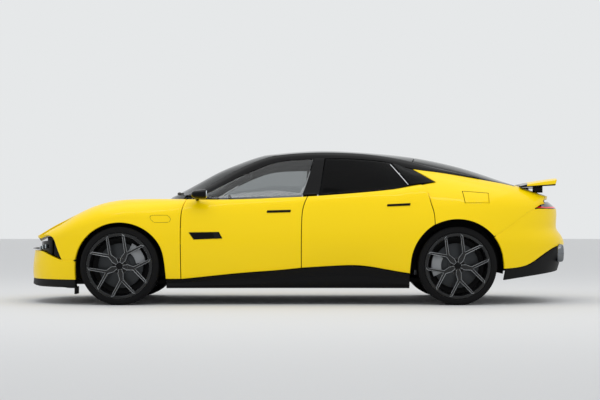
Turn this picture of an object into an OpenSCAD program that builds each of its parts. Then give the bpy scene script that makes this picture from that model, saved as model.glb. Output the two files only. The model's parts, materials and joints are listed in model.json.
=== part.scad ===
// Electric sports sedan, one part made of separate named pieces.
// The front is at -X, the left side at -Y, up is +Z, and the ground is at z = 0.

/* [Overall] */
// Length from the nose to the tail
body_l = 5139; // [4950:1:5350]
// Width across the rear arches, without mirrors
body_w = 2005; // [1920:1:2080]
// Height from the ground to the top of the roof
body_h = 1446; // [1400:1:1500]
// Distance between the axles
wheelbase = 3069; // [2980:1:3150]
// From the nose to the front axle
front_overhang = 945; // [900:1:990]

/* [Wheels] */
// Radius of every tyre
tyre_r = 356; // [345:1:366]
// Radius of the rim flange
rim_r = 297; // [285:1:305]
// Width of a front tyre
front_tyre_w = 265; // [235:1:285]
// Width of a rear tyre
rear_tyre_w = 305; // [265:1:315]
// From the widest point of the body in to the outer face of a tyre
wheel_inset = 30.5; // [22:0.5:48]
// Radius of the front wheel arch
front_arch_r = 418; // [412:1:426]
// Radius of the rear wheel arch
rear_arch_r = 428; // [412:1:434]

/* [Panels] */
// Gap around doors, hood and tailgate
shut_gap = 7; // [6:0.5:9]
// Gap between panels that are fastened to each other
seam_gap = 0.3; // [0.2:0.05:0.5]
// Thickness of the metal panels
panel_t = 22; // [14:1:28]
// Thickness of the glass
glass_t = 6; // [4:0.5:8]
// Thickness of a door at the middle of the car
door_depth = 150.5; // [142:0.5:165]

/* [Cabin] */
// Height of the cabin floor
floor_z = 300; // [280:1:320]
// Height of the seat cushions' top
cushion_z = 520; // [490:1:550]

/* [Hidden] */
$fn = 48;
// How far the middle of the nose and of the tail stands out
prow_l = 30;
// The inner edge of a door ends this much above the outer one
door_step = 40;
// Gap round the charge flap, and its thickness
flap_gap = 5;
flap_t = 8;
// The lines of the body are drawn for this width and height, and stretched to those above
drawn_w = 2005;
drawn_h = 1446;
drawn_tail = 697;
wide = body_w / drawn_w;
tall = body_h / drawn_h;
nose = -body_l / 2;
tail = body_l / 2;
fa = nose + front_overhang;
ra = fa + wheelbase;
mid = (fa + ra) / 2;
w_rear = body_w / 2;
w_front = w_rear - 15 * wide;
w_door = w_rear - 52 * wide;
door_inner_y = w_door - door_depth * wide;
wheel_face_y = w_rear - wheel_inset;
tub_y = door_inner_y - 60 * wide;
tray_y = 470 * wide;
hub_z = tyre_r;
front_hub_y = wheel_face_y - front_tyre_w / 2;
rear_hub_y = wheel_face_y - rear_tyre_w / 2;
knuckle_in = 60;
kingpin_y = front_hub_y - knuckle_in;
rail_z = body_h - 100;
belt_0 = 965;

paint = [0.95, 0.83, 0.05];
black = [0.06, 0.06, 0.07];
dark = [0.16, 0.16, 0.18];
grey = [0.45, 0.46, 0.48];
tint = [0.1, 0.12, 0.14];

// Smooth line through knots [at, value], where a value is a number or a list
function lerp(a, b, t) = a + (b - a) * t;
function span(k, x, i = 0) = (i >= len(k) - 2 || x < k[i + 1][0]) ? i : span(k, x, i + 1);
function slope(k, i) =
  let (a = max(i - 1, 0), b = min(i + 1, len(k) - 1))
  (k[b][1] - k[a][1]) / (k[b][0] - k[a][0]);
function curve(k, x) =
  let (
    i = span(k, x),
    d = k[i + 1][0] - k[i][0],
    t = min(max((x - k[i][0]) / d, 0), 1),
    m = slope(k, i) * d,
    n = slope(k, i + 1) * d
  )
  (2 * t ^ 3 - 3 * t ^ 2 + 1) * k[i][1] + (t ^ 3 - 2 * t ^ 2 + t) * m
  + (3 * t ^ 2 - 2 * t ^ 3) * k[i + 1][1] + (t ^ 3 - t ^ 2) * n;

// A closed panel between an outer grid of points and an inner one
function flat(g) = [for (c = g) for (p = c) p];
function normal_at(g, i, j) =
  let (
    n = len(g) - 1,
    m = len(g[0]) - 1,
    du = g[min(i + 1, n)][j] - g[max(i - 1, 0)][j],
    dv = g[i][min(j + 1, m)] - g[i][max(j - 1, 0)],
    c = cross(du, dv)
  )
  c / max(norm(c), 0.001);
function inward(g, t) =
  [for (i = [0 : len(g) - 1]) [for (j = [0 : len(g[0]) - 1]) g[i][j] - t * normal_at(g, i, j)]];
function lid_side(g, t) =
  let (k = inward(g, t), m = len(g[0]) - 1)
  [for (i = [0 : len(g) - 1]) [for (j = [0 : m]) j == m ? [g[i][m][0], g[i][m][1], k[i][m][2]] : k[i][j]]];
// Inner grids that leave the first and last row level with the outer ones, or the whole rim upright
function shell(g, t) =
  let (k = inward(g, t), m = len(g[0]) - 1)
  [for (i = [0 : len(g) - 1]) [for (j = [0 : m])
    let (p = k[i][j], z = g[i][j][2])
    [p[0], p[1], j == 0 ? max(p[2], z) : j == m ? min(p[2], z) : p[2]]]];
function edge_drop(g, t) =
  let (k = inward(g, t), n = len(g) - 1, m = len(g[0]) - 1)
  [for (i = [0 : n]) [for (j = [0 : m])
    i == 0 || i == n || j == 0 || j == m ? [g[i][j][0], g[i][j][1], k[i][j][2]] : k[i][j]]];
function part_of(g, i0, i1, j0, j1) = [for (i = [i0 : i1]) [for (j = [j0 : j1]) g[i][j]]];
function level(g, z) = [for (c = g) [for (p = c) [p[0], p[1], z]]];
function lowered(g, d) = [for (c = g) [for (p = c) [p[0], p[1], p[2] - d]]];
function has_cell(i, j, n, m, hole) =
  i >= 0 && j >= 0 && i < n && j < m
  && !(i >= hole[0] && i < hole[1] && j >= hole[2] && j < hole[3]);

module panel(outer, inner, hole = [0, 0, 0, 0]) {
  n = len(outer) - 1;
  m = len(outer[0]) - 1;
  w = m + 1;
  k = (n + 1) * w;
  faces = [
    for (i = [0 : n - 1]) for (j = [0 : m - 1]) if (has_cell(i, j, n, m, hole))
      let (
        a = i * w + j,
        b = a + w,
        c = b + 1,
        d = a + 1
      )
      each concat(
        [[a, d, c], [a, c, b], [k + a, k + c, k + d], [k + a, k + b, k + c]],
        has_cell(i, j - 1, n, m, hole) ? [] : [[a, b, k + b], [a, k + b, k + a]],
        has_cell(i, j + 1, n, m, hole) ? [] : [[c, d, k + d], [c, k + d, k + c]],
        has_cell(i - 1, j, n, m, hole) ? [] : [[d, a, k + a], [d, k + a, k + d]],
        has_cell(i + 1, j, n, m, hole) ? [] : [[b, c, k + c], [b, k + c, k + b]]
      )
  ];
  polyhedron(points = concat(flat(outer), flat(inner)), faces = faces);
}

module both_sides() {
  children();
  mirror([0, 1, 0]) children();
}

// Outline of the nose and the tail in the middle plane, by height
function nose_x(z) = nose + curve([
  [150, 46], [230, 34], [325, prow_l], [420, 40], [510, 50], [588, 54], [1000, 52]], z);
function tail_x(z) = tail - curve([
  [200, 120], [360, 64], [500, 36], [575, prow_l], [640, 60], [690, 99], [880, 99], [1000, 160]], z);
// The middle of the nose and of the tail stands out by this much more
function prow(y) = prow_l * max(1 - abs(y) / 400, 0) ^ 1.5;

// Half width of the lower body at a place along the car and a height
function mid_w(x) = curve([
  [fa - 200, w_front], [fa, w_front], [fa + 430, w_front - 14], [fa + 1100, w_door + 2],
  [mid + 120, w_door], [ra - 850, w_door + 8], [ra - 420, w_rear - 18], [ra, w_rear],
  [ra + 200, w_rear]], x);
function tuck(x, z) =
  curve([[140, 78], [240, 52], [340, 32], [450, 13], [600, 0], [720, 4], [820, 18], [920, 45], [1000, 80]], z)
  + 30 * exp(-((x - mid - 500) / 520) ^ 2) * exp(-((z - 350) / 130) ^ 2);
function end_round(x, z) =
  x < fa ? max(1 - ((fa - x) / (fa - nose_x(z))) ^ 2, 0) ^ (1 / 3)
  : x > ra ? max(1 - ((x - ra) / (tail_x(z) - ra)) ^ 2, 0) ^ (1 / 3)
  : 1;
function side_y(x, z) = (mid_w(x) - tuck(x, z)) * end_round(x, z);

// A place behind the rear wheel moves with the tail
function back(d) =
  ra + min(d, rear_arch_r) + max(d - rear_arch_r, 0) * (tail - ra - rear_arch_r) / drawn_tail;
function spread(p) = [p[0] * wide, p[1]];

// Long lines of the body: [distance from the middle, height] at a place along the car
function fender_top(x) = spread(curve([
  [nose + 155, [590, 612]], [nose + 245, [610, 676]], [nose + 364, [640, 735]],
  [nose + 456, [652, 791]], [nose + 549, [662, 846]], [fa - 212, [680, 921]],
  [fa - 27, [690, 958]], [fa + 158, [700, 968]], [fa + 436, [735, 968]], [fa + 610, [778, 966]]], x));
function belt(x) = spread(curve([
  [fa + 543, [828, belt_0]], [fa + 908, [862, belt_0 - 3]], [fa + 1273, [872, belt_0 + 6]],
  [mid + 104, [876, belt_0 + 19]], [mid + 469, [876, belt_0 + 43]], [ra - 700, [868, belt_0 + 74]],
  [ra - 518, [858, belt_0 + 98]], [ra - 412, [848, belt_0 + 120]], [ra - 290, [839, belt_0 + 137]],
  [ra - 180, [826, belt_0 + 149]]], x));
function rail_low(x) = spread(curve([
  [fa + 600, [806, 966]], [fa + 782, [778, 1022]], [fa + 1079, [712, 1177]],
  [fa + 1285, [668, rail_z - 80]], [fa + 1452, [645, rail_z - 24]], [mid + 104, [636, rail_z - 10]],
  [mid + 335, [632, rail_z + 2]], [mid + 661, [630, rail_z - 5]], [ra - 584, [632, rail_z - 39]],
  [ra - 378, [634, rail_z - 100]], [ra - 150, [645, 1216]], [ra + 41, [650, 1185]],
  [ra + 310, [640, 1138]], [back(566), [612, 1088]], [back(858), [590, 991]]], x));
function rail_high(x) = spread(curve([
  [fa + 545, [748, 984]], [fa + 755, [700, 1064]], [fa + 1035, [640, 1228]],
  [fa + 1235, [600, rail_z - 24]], [fa + 1410, [575, rail_z + 30]], [mid + 104, [562, rail_z + 53]],
  [mid + 335, [556, rail_z + 61]], [mid + 661, [550, rail_z + 50]], [ra - 584, [545, rail_z + 16]],
  [ra - 378, [546, rail_z - 30]], [ra - 150, [570, rail_z - 88]], [ra + 41, [606, 1214]],
  [ra + 310, [637, 1141]], [back(566), [611, 1089]], [back(858), [589, 992]]], x));
function roof_z(x) = curve([
  [fa + 384, 985], [fa + 470, 1030], [fa + 665, body_h - 309], [fa + 860, body_h - 202],
  [fa + 1054, body_h - 124], [fa + 1249, body_h - 55], [fa + 1444, body_h - 26], [mid + 104, body_h - 9],
  [mid + 299, body_h], [mid + 494, body_h - 5], [ra - 846, body_h - 16], [ra - 456, body_h - 49],
  [ra - 261, body_h - 78], [ra - 66, body_h - 117], [ra + 129, body_h - 166], [ra + 324, body_h - 228],
  [back(519), 1149], [back(655), 1105], [back(962), 1001]], x);
function hood_z(x) = curve([
  [nose + 52, 588], [nose + 90, 628], [nose + 168, 672], [nose + 245, 722], [nose + 400, 798],
  [nose + 634, 872], [fa - 15, 928], [fa + 385, 962], [fa + 600, 966]], x);
// Height where the side starts to roll inward
function roll_z(x) = curve([
  [nose + 155, 586], [nose + 314, 612], [nose + 530, 690], [fa, 812], [fa + 418, 800], [fa + 920, 790],
  [mid + 390, 800], [ra - 545, 850], [ra - 205, 912], [ra, 925], [back(456), 925], [back(728), 912],
  [back(858), 950]], x);
// Lower edge of the painted side between the wheels
function sill_z(x) = curve([
  [fa + 420, 237], [fa + 548, 237], [fa + 730, 255], [fa + 1094, 292], [fa + 1457, 319],
  [mid + 104, 337], [mid + 286, 349], [mid + 558, 364], [mid + 649, 364], [ra - 703, 337],
  [ra - 521, 301], [ra - 430, 287]], x);

// A point of the body side: v runs from 0 at the lower edge to 1 at the upper line
function side_point(x, v, low_z, top, full) =
  let (zs = roll_z(x), ys = side_y(x, zs))
  v <= 0.5
  ? let (z = lerp(low_z, zs, v * 2)) [x, -side_y(x, z), z]
  : let (
      t = v * 2 - 1,
      dy = ys - top[0],
      dz = top[1] - zs,
      lean = (side_y(x, zs - 20) - ys) / 20,
      p1 = [ys - lean * 0.42 * dz, zs + 0.42 * dz],
      p2 = [top[0] + full * dy, top[1] - (0.32 - 0.35 * full) * dz],
      p = (1 - t) ^ 3 * [ys, zs] + 3 * t * (1 - t) ^ 2 * p1 + 3 * t ^ 2 * (1 - t) * p2 + t ^ 3 * top
    )
    [x, -p[0], p[1]];

// Shut lines along the car, by height
function door_front_x(z) = fa + curve([[200, 558], [720, 557], [860, 566], [930, 588], [1000, 622]], z);
function door_mid_x(z) = mid + curve([[200, 120], [700, 121], [860, 130], [930, 150], [1000, 182]], z);
function door_rear_x(z) = ra - curve([
  [600, 205], [819, 207], [930, 236], [1020, 265], [1100, 306], [1200, 340]], z);
front_angles = [172, 162, 150, 135, 120, 105, 90, 75, 60, 45, 30, 15];
rear_angles = [118, 108, 98, 88, 78, 68, 58, 48, 39.3];
door_angles = [170, 158, 146, 134, 126, 118.5];
front_arch_z = front_arch_r - 18;

// Fender
fender_low = concat(
  [[nose + 400, 408], [nose + 465, 406]],
  [for (a = front_angles) [fa + front_arch_r * cos(a), hub_z + front_arch_z * sin(a)]],
  [[fa + front_arch_r, 238], [door_front_x(240) - shut_gap, 238]]
);
function fender_front_x(v) = nose + curve([[0, 400], [0.25, 352], [0.5, 314], [0.75, 232], [1, 157]], v);
rows_side = [0, 0.14, 0.28, 0.4, 0.5, 0.6, 0.7, 0.8, 0.9, 1];
function fender_grid() =
  let (n = len(fender_low) - 1)
  [for (i = [0 : n]) [for (v = rows_side)
    let (
      f = i / n,
      tx = lerp(fender_front_x(1), door_front_x(968) - shut_gap - 6, f),
      z_rear = side_point(door_front_x(lerp(238, 966, v)) - shut_gap, v, 238, fender_top(fa + 590), 0.85)[2],
      plain = lerp(fender_low[i][0], tx, v),
      front_off = fender_front_x(v) - lerp(fender_low[0][0], fender_front_x(1), v),
      rear_top = door_front_x(968) - shut_gap - 6,
      rear_off = door_front_x(z_rear) - shut_gap - lerp(fender_low[n][0], rear_top, v),
      x = plain + front_off * (1 - f) ^ 3 + rear_off * f ^ 6,
      full = curve([[nose, 0.6], [fa, 0.62], [fa + 300, 0.68], [fa + 600, 0.85]], x)
    )
    side_point(x, v, fender_low[i][1], fender_top(x), full)]];

module fenders() {
  g = fender_grid();
  color(paint) both_sides() panel(g, lid_side(g, panel_t));
}

// Doors: the outer face is the body side, the inner face is flat
function door_inner(g, front_in, rear_in) =
  let (n = len(g) - 1)
  [for (i = [0 : n]) [for (j = [0 : len(g[0]) - 1])
    let (p = g[i][j])
    [p[0] + lerp(front_in, -rear_in, i / n), -door_inner_y, p[2] + (j == 0 ? door_step : 0)]]];
rows_door = [0, 0.13, 0.26, 0.38, 0.5, 0.6, 0.7, 0.8, 0.9, 1];
door_front_n = 11;
function door_front_grid() =
  [for (i = [0 : door_front_n]) [for (v = rows_door)
    let (
      u = i / door_front_n,
      xn = lerp(door_front_x(lerp(240, 968, v)), door_mid_x(lerp(335, 984, v)) - shut_gap, u),
      z = side_point(xn, v, sill_z(xn), belt(xn), 0.6)[2],
      x = lerp(door_front_x(z), door_mid_x(z) - shut_gap, u)
    )
    side_point(x, v, sill_z(x), belt(x), 0.6)]];
door_low = concat(
  [for (u = [0 : 0.17 : 0.86]) let (x = lerp(door_mid_x(330), ra - rear_arch_r - 4, u)) [x, sill_z(x)]],
  [[ra - rear_arch_r - 4, 289]],
  [for (a = door_angles) [ra + rear_arch_r * cos(a), hub_z + rear_arch_r * sin(a)]]
);
function door_rear_grid() =
  let (n = len(door_low) - 1)
  [for (i = [0 : n]) [for (v = rows_door)
    let (
      f = i / n,
      top_a = door_mid_x(984),
      top_b = door_rear_x(1096) - shut_gap,
      plain = lerp(door_low[i][0], lerp(top_a, top_b, f), v),
      xn = door_mid_x(lerp(340, 984, v)),
      zn = side_point(xn, v, sill_z(xn), belt(xn), 0.6)[2],
      front_off = door_mid_x(zn) - lerp(door_low[0][0], top_a, v),
      rear_off = door_rear_x(lerp(732, 1098, v)) - shut_gap - lerp(door_low[n][0], top_b, v),
      x = plain + front_off * (1 - f) ^ 4 + rear_off * f ^ 4
    )
    side_point(x, v, door_low[i][1], belt(x), 0.55)]];

module door_front() {
  g = door_front_grid();
  panel(g, door_inner(g, 8, 22));
}
module door_rear() {
  g = door_rear_grid();
  panel(g, door_inner(g, 8, 22));
}
module door_front_left() {
  color(paint) door_front();
}
module door_front_right() {
  color(paint) mirror([0, 1, 0]) door_front();
}
module door_rear_left() {
  color(paint) door_rear();
}
module door_rear_right() {
  color(paint) mirror([0, 1, 0]) door_rear();
}

// Rear quarter, from the rear door to the lamp and up to the rail
quarter_low = concat(
  [for (a = rear_angles) [ra + rear_arch_r * cos(a), hub_z + rear_arch_r * sin(a)]],
  [[back(440), 690], [back(545), 765], [back(640), 838], [back(728), 902], [back(800), 938]]
);
quarter_rows = [0, 0.2, 0.38, 0.5, 0.6, 0.68, 0.75, 0.79, 0.86, 0.93, 1];
function quarter_front_x(v) =
  v <= 0.75 ? door_rear_x(curve([[0, 732], [0.25, 819], [0.5, 912], [0.68, 1035], [0.75, 1099]], v))
  : v < 0.8 ? ra - 180
  : lerp(ra - 180, ra - 376, (v - 0.79) / 0.21);
function quarter_grid() =
  let (n = len(quarter_low) - 1)
  [for (i = [0 : n]) [for (v = quarter_rows)
    let (
      f = i / n,
      top_a = ra - 376,
      top_b = back(856),
      plain = lerp(quarter_low[i][0], lerp(top_a, top_b, f), v),
      off = quarter_front_x(v) - lerp(quarter_low[0][0], top_a, v),
      x = plain + off * (1 - f) ^ 3
    )
    side_point(x, v, quarter_low[i][1], rail_low(x), 0.42)]];

module quarters() {
  g = quarter_grid();
  color(paint) {
    panel(g, lid_side(g, panel_t), flap_cells);
    mirror([0, 1, 0]) panel(g, lid_side(g, panel_t));
  }
}

// Charge flap in the left quarter, with a tray behind it
flap_cells = [4, 7, 3, 5];
function toward(p, q, d) = norm(q - p) < 1 ? [0, 0, 0] : d * (q - p) / norm(q - p);
function flap_grid() =
  let (c = part_of(quarter_grid(), flap_cells[0], flap_cells[1], flap_cells[2], flap_cells[3]))
  [for (i = [0 : 3]) [for (j = [0 : 2])
    let (p = c[i][j], q = c[min(max(i, 1), 2)][j], r = c[i][1])
    p + toward(p, q, flap_gap) + toward(p, r, flap_gap)]];

module charge_flap() {
  g = flap_grid();
  k = inward(g, flap_t);
  color(paint) panel(g, [for (i = [0 : 3]) [for (p = k[i]) [p[0] + (i == 0 ? flap_t : 0), p[1], p[2]]]]);
}
module charge_tray() {
  g = quarter_grid();
  c = flap_cells;
  color(black) panel(
    part_of(inward(g, panel_t + seam_gap), c[0] - 1, c[1] + 1, c[2] - 1, c[3] + 1),
    part_of(inward(g, panel_t + 30), c[0] - 1, c[1] + 1, c[2] - 1, c[3] + 1));
}

// Front bumper, wrapped round the nose
bumper_n = 28;
function bumper_front_x(z) =
  z < 400 ? fa - front_arch_r * cos(asin(min(max((z - hub_z) / front_arch_z, 0), 1)))
  : fa - front_arch_r;
function nose_turn(x, z) = asin(min(max((fa - x) / (fa - nose_x(z)), 0), 1));
function nose_point(a, z) =
  let (x = fa - (fa - nose_x(z)) * sin(a), y = side_y(x, z))
  [x - prow(y) * curve([[420, 1], [530, 0]], z), (a > 90 ? -1 : 1) * y, z];
function bumper_top_z(a) = curve([[0, 396], [28, 396], [36, 402], [58, 486], [64, 490], [90, 490]], a);
bumper_rows = [0, 0.12, 0.3, 0.5, 0.7, 0.86, 1];
function bumper_grid() =
  [for (i = [0 : bumper_n]) [for (v = bumper_rows)
    let (
      s = abs(i / bumper_n * 2 - 1),
      a0 = nose_turn(fa - front_arch_r, 300),
      a = lerp(90, a0, s),
      z = lerp(228, bumper_top_z(a), v)
    )
    nose_point(i * 2 <= bumper_n ? a : 180 - a, z)]];

module front_bumper() {
  g = bumper_grid();
  color(paint) panel(g, shell(g, panel_t));
}

// Splitter under the bumper, out to the wheels
module front_splitter() {
  color(black) {
    front_lip();
    both_sides() translate([fa - 424, -850 * wide, 96]) cube([18, 160, 66]);
  }
}
// The lip grows thinner towards the wheels
function lip_in(p) = curve([[fa - 760, 1], [fa - 560, 0.5], [fa - front_arch_r, 0.12]], p[0]);
module front_lip() {
  n = bumper_n;
  outer = [for (i = [0 : n]) let (
    s = abs(i / n * 2 - 1),
    a0 = nose_turn(fa - front_arch_r, 230),
    a = lerp(90, a0, s),
    p = nose_point(i * 2 <= n ? a : 180 - a, 232)
  ) p];
  g = [for (p = outer) [
    [p[0] + 30 * lip_in(p), p[1] * 0.97, 150],
    [p[0] - 2, p[1], 172],
    [p[0] - 2, p[1], 186],
    [p[0] + 3, p[1] * 0.998, 227.7]]];
  h = [for (p = outer)
    let (d = 60 * lip_in(p))
    [
      [p[0] + 30 * lip_in(p) + d, p[1] * 0.88, 156],
      [p[0] + d, p[1] * 0.9, 176],
      [p[0] + d, p[1] * 0.9, 190],
      [p[0] + d, p[1] * 0.9, 227.7]
    ]];
  panel(g, h);
}

// Dark band in the slot between bumper and hood, with the lamps beside it
band_n = 24;
function band_grid() =
  [for (i = [0 : band_n]) [for (v = [0, 0.5, 1])
    let (
      s = abs(i / band_n * 2 - 1),
      a = lerp(90, 40, s),
      z = lerp(bumper_top_z(a) + 1, lerp(566, 600, s ^ 2), v),
      p = nose_point(i * 2 <= band_n ? a : 180 - a, z)
    )
    [p[0] + lerp(70, 26, s), p[1] * lerp(0.96, 0.985, s), z]]];

module grille_band() {
  g = band_grid();
  color(black) panel(g, inward(g, 16));
}

module headlamps() {
  n = band_n - 1;
  lamp = part_of(band_grid(), n - 5, n - 1, 0, 2);
  color(grey) both_sides() panel(pushed(lamp, 14), pushed(lamp, 0.3));
}
function pushed(g, d) = [for (c = g) [for (p = c) [p[0] - d, p[1] - d * 0.4, p[2]]]];

// Hood between the fenders, from the cowl to the nose lip
hood_n = 14;
hood_m = 16;
function hood_nose_x(y) =
  fa - (fa - nose_x(590)) * (1 - (min(y, w_front) / w_front) ^ 3) ^ 0.5
  + 22 * sin(180 * min(y / 584 / wide, 1));
function hood_grid() =
  [for (i = [0 : hood_n]) [for (j = [0 : hood_m])
    let (
      s = j / hood_m * 2 - 1,
      u = i / hood_n,
      x = lerp(hood_nose_x(abs(s) * 584 * wide), lerp(fa + 335, fa + 545, s ^ 2), u ^ 0.85),
      e = fender_top(x),
      c = hood_z(x)
    )
    [x, s * (e[0] - shut_gap), lerp(c, max(e[1], c - 30), abs(s) ^ 2.2)]]];

function hood_under(g, d) =
  [for (i = [0 : hood_n]) [for (p = g[i]) [p[0] + 10 * (1 - i / hood_n) - 3, p[1] * 0.99, p[2] - d]]];

module hood() {
  g = hood_grid();
  color(paint) panel(g, hood_under(g, panel_t));
}

// Cowl between hood and windshield
function cowl_grid() =
  [for (u = [0, 0.5, 1]) [for (j = [0 : 12])
    let (
      s = j / 12 * 2 - 1,
      e = rail_high(fa + 592),
      front = [lerp(fa + 348, fa + 558, s ^ 2), s * 742 * wide, lerp(944, 950, s ^ 2)],
      back = [lerp(fa + 404, fa + 592, s ^ 2) - 2, s * (e[0] - 3), lerp(roof_z(fa + 404), e[1], s ^ 2) - 0.2]
    )
    lerp(front, back, u)]];

module cowl() {
  g = cowl_grid();
  color(black) panel(g, lowered(g, 16));
}

// Windshield, roof and rear window: a middle line and an edge line, with a round section between
function crown_grid(n, m, mx, ex, inset, power = 2) =
  [for (i = [0 : n]) [for (j = [0 : m])
    let (
      u = i / n,
      s = j / m * 2 - 1,
      xm = mx(u),
      xe = ex(u),
      e = rail_high(xe),
      q = abs(s) ^ power
    )
    [lerp(xm, xe, q), s * (e[0] - inset), lerp(roof_z(xm), e[1], q)]]];

module windshield() {
  g = crown_grid(
    9, 12, function (u) lerp(fa + 404, fa + 1290, u), function (u) lerp(fa + 592, fa + 1408, u), 1);
  color(tint) panel(g, edge_drop(g, glass_t));
}

function roof_grid() = crown_grid(
  9, 12, function (u) lerp(fa + 1290.5, ra - 330, u), function (u) lerp(fa + 1408.5, ra - 386, u), 1.5);
function window_grid() = crown_grid(
  11, 12, function (u) lerp(ra - 322, back(622), u), function (u) lerp(ra - 378, back(566), u), shut_gap);

module roof() {
  g = roof_grid();
  color(tint) panel(g, edge_drop(g, 16));
}

module rear_window() {
  g = window_grid();
  color(tint) panel(g, edge_drop(g, 10));
}

// Tailgate deck behind the rear window
function deck_grid() = crown_grid(
  6, 14, function (u) lerp(back(623), back(955), u), function (u) lerp(back(567), back(852), u), shut_gap);

function deck_under(g) =
  [for (i = [0 : len(g) - 1]) [for (p = g[i]) [p[0] - 6 * min(i, 1), p[1] * (i > 0 ? 0.94 : 1), p[2] - 34]]];

module tailgate() {
  g = deck_grid();
  color(paint) panel(g, deck_under(g));
}

// Raised spoiler on the tailgate
function spoiler_point(u, s, under) =
  let (
    x = lerp(lerp(back(668), back(612), s ^ 2), lerp(back(1020), back(952), s ^ 2), u),
    top = lerp(lerp(1118, 1088, s ^ 2), lerp(1178, 1146, s ^ 2), u ^ 0.8),
    thick = lerp(8, 52, u ^ 0.7)
  )
  [x - (under ? 14 * u : 0), s * wide * lerp(650, 664, u), top - (under ? thick : 0)];

module spoiler() {
  top = [for (i = [0 : 5]) [for (j = [0 : 12]) spoiler_point(i / 5, j / 6 - 1, false)]];
  under = [for (i = [0 : 5]) [for (j = [0 : 12]) spoiler_point(i / 5, j / 6 - 1, true)]];
  color(paint) panel(top, under);
  color(black) both_sides() translate([back(770), -420 * wide, roof_z(back(820)) - 16])
    linear_extrude(1101.9 - roof_z(back(820)) + 16) polygon([[0, 0], [90, -10], [90, 30], [0, 30]]);
}

// Rails above the side glass, with the windshield pillars and the middle pillars
rail_n = 26;
function rail_shift(x) = curve([
  [fa + 600, -56], [fa + 1079, -46], [fa + 1452, -40], [mid + 104, 0], [ra + 400, 0]], x);
function rail_grid() =
  [for (i = [0 : rail_n]) [for (v = [0, 0.33, 0.67, 1])
    let (
      x = lerp(fa + 655, ra + 230, i / rail_n),
      xo = x + rail_shift(x),
      a = rail_low(x),
      b = rail_high(xo),
      bulge = 10 * sin(180 * v)
    )
    [lerp(x, xo, v), -lerp(a[0] - 1.5, b[0] + 0.2, v) - bulge * 0.7, lerp(a[1], b[1], v) + bulge * 0.7]]];

function rail_inner(g, t) =
  let (k = inward(g, t))
  [for (i = [0 : rail_n]) [
    [k[i][0][0], k[i][0][1], g[i][0][2]], k[i][1], k[i][2], [g[i][3][0], g[i][3][1], k[i][3][2]]]];

module side_rails() {
  g = rail_grid();
  color(black) both_sides() {
    panel(g, rail_inner(g, 14));
    middle_pillar();
  }
}

// A flat-sided glass between the belt and the rail
function pane_grid(n, low_a, low_b, top_a, top_b, drop, out = 4) =
  [for (i = [0 : n]) [for (v = [0, 0.25, 0.5, 0.75, 1])
    let (
      u = i / n,
      xl = lerp(low_a, low_b, u),
      xt = lerp(top_a, top_b, u),
      a = belt(xl),
      b = rail_low(xt),
      lo = [xl, a[0] - 14, a[1] + 6 * seam_gap],
      hi = [xt, b[0] + out, b[1] - drop],
      p = lerp(lo, hi, v)
    )
    [p[0], -p[1] - 14 * sin(180 * v), p[2]]]];
module middle_pillar() {
  g = pane_grid(2, mid + 124, mid + 278, mid + 238, mid + 333, seam_gap, 0);
  h = [for (c = g) [for (p = c) [p[0], p[1], max(p[2], belt(p[0])[1] + 18)]]];
  panel(h, inward(h, 12));
}
module pane_front() {
  g = pane_grid(10, fa + 640, mid + 116, fa + 655, mid + 230, shut_gap);
  panel(g, shell(g, glass_t));
}
module pane_rear() {
  g = pane_grid(7, mid + 286, ra - 424, mid + 341, ra - 586, shut_gap);
  panel(g, shell(g, glass_t));
}
module glass_front_left() {
  color(tint) pane_front();
}
module glass_front_right() {
  color(tint) mirror([0, 1, 0]) pane_front();
}
module glass_rear_left() {
  color(tint) pane_rear();
}
module glass_rear_right() {
  color(tint) mirror([0, 1, 0]) pane_rear();
}

module quarter_glass() {
  g = pane_grid(4, ra - 416, ra - 190, ra - 578, ra - 384, 4 * seam_gap, 0);
  h = [for (c = g) [for (p = c) [p[0], p[1], max(p[2], belt(p[0])[1] + 11)]]];
  color(tint) both_sides() panel(h, inward(h, glass_t));
}

// Rear bumper, wrapped round the tail
function tail_point(a, z) =
  let (x = ra + (tail_x(z) - ra) * sin(a), y = side_y(x, z))
  [x + prow(y) * curve([[600, 1], [700, 0]], z), (a > 90 ? 1 : -1) * y, z];
function tail_turn(x, z) = asin(min(max((x - ra) / (tail_x(z) - ra), 0), 1));
function bumper_split_x(z) =
  z < hub_z ? ra + rear_arch_r + 8 * (hub_z - z) / 100
  : z < 620 ? ra + (rear_arch_r ^ 2 - (z - hub_z) ^ 2) ^ 0.5
  : back(12 + curve([[620, 337], [690, 441], [765, 546], [838, 648], [880, 732], [902, 765]], z));
function bumper_low_z(a) = curve([
  [0, 326], [24, 330], [38, 360], [48, 448], [60, 526], [72, 540], [90, 542]], a);
rear_rows = [0, 0.1, 0.22, 0.33, 0.43, 0.529, 0.64, 0.76, 0.88, 1];
function rear_bumper_grid() =
  [for (i = [0 : bumper_n]) [for (v = rear_rows)
    let (
      s = abs(i / bumper_n * 2 - 1),
      a_mid = lerp(90, 24, s),
      z = lerp(bumper_low_z(a_mid), 878, v),
      a = lerp(90, tail_turn(bumper_split_x(z), z), s)
    )
    tail_point(i * 2 <= bumper_n ? a : 180 - a, z)]];

module rear_bumper() {
  g = rear_bumper_grid();
  color(paint) panel(g, shell(g, panel_t));
}

// Diffuser under the rear bumper
module rear_diffuser() {
  n = bumper_n;
  g = [for (i = [0 : n]) [for (v = [0, 0.3, 0.65, 1])
    let (
      s = abs(i / n * 2 - 1),
      a_mid = lerp(90, 24, s),
      z = lerp(lerp(300, 224, s ^ 2), bumper_low_z(a_mid) - 4, v),
      a = lerp(90, tail_turn(ra + rear_arch_r + 14, 300), s),
      p = tail_point(i * 2 <= n ? a : 180 - a, z)
    )
    [p[0] - 10 * (1 - s), p[1] * 0.985, z]]];
  color(black) panel(g, shell(g, 18));
}

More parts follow.
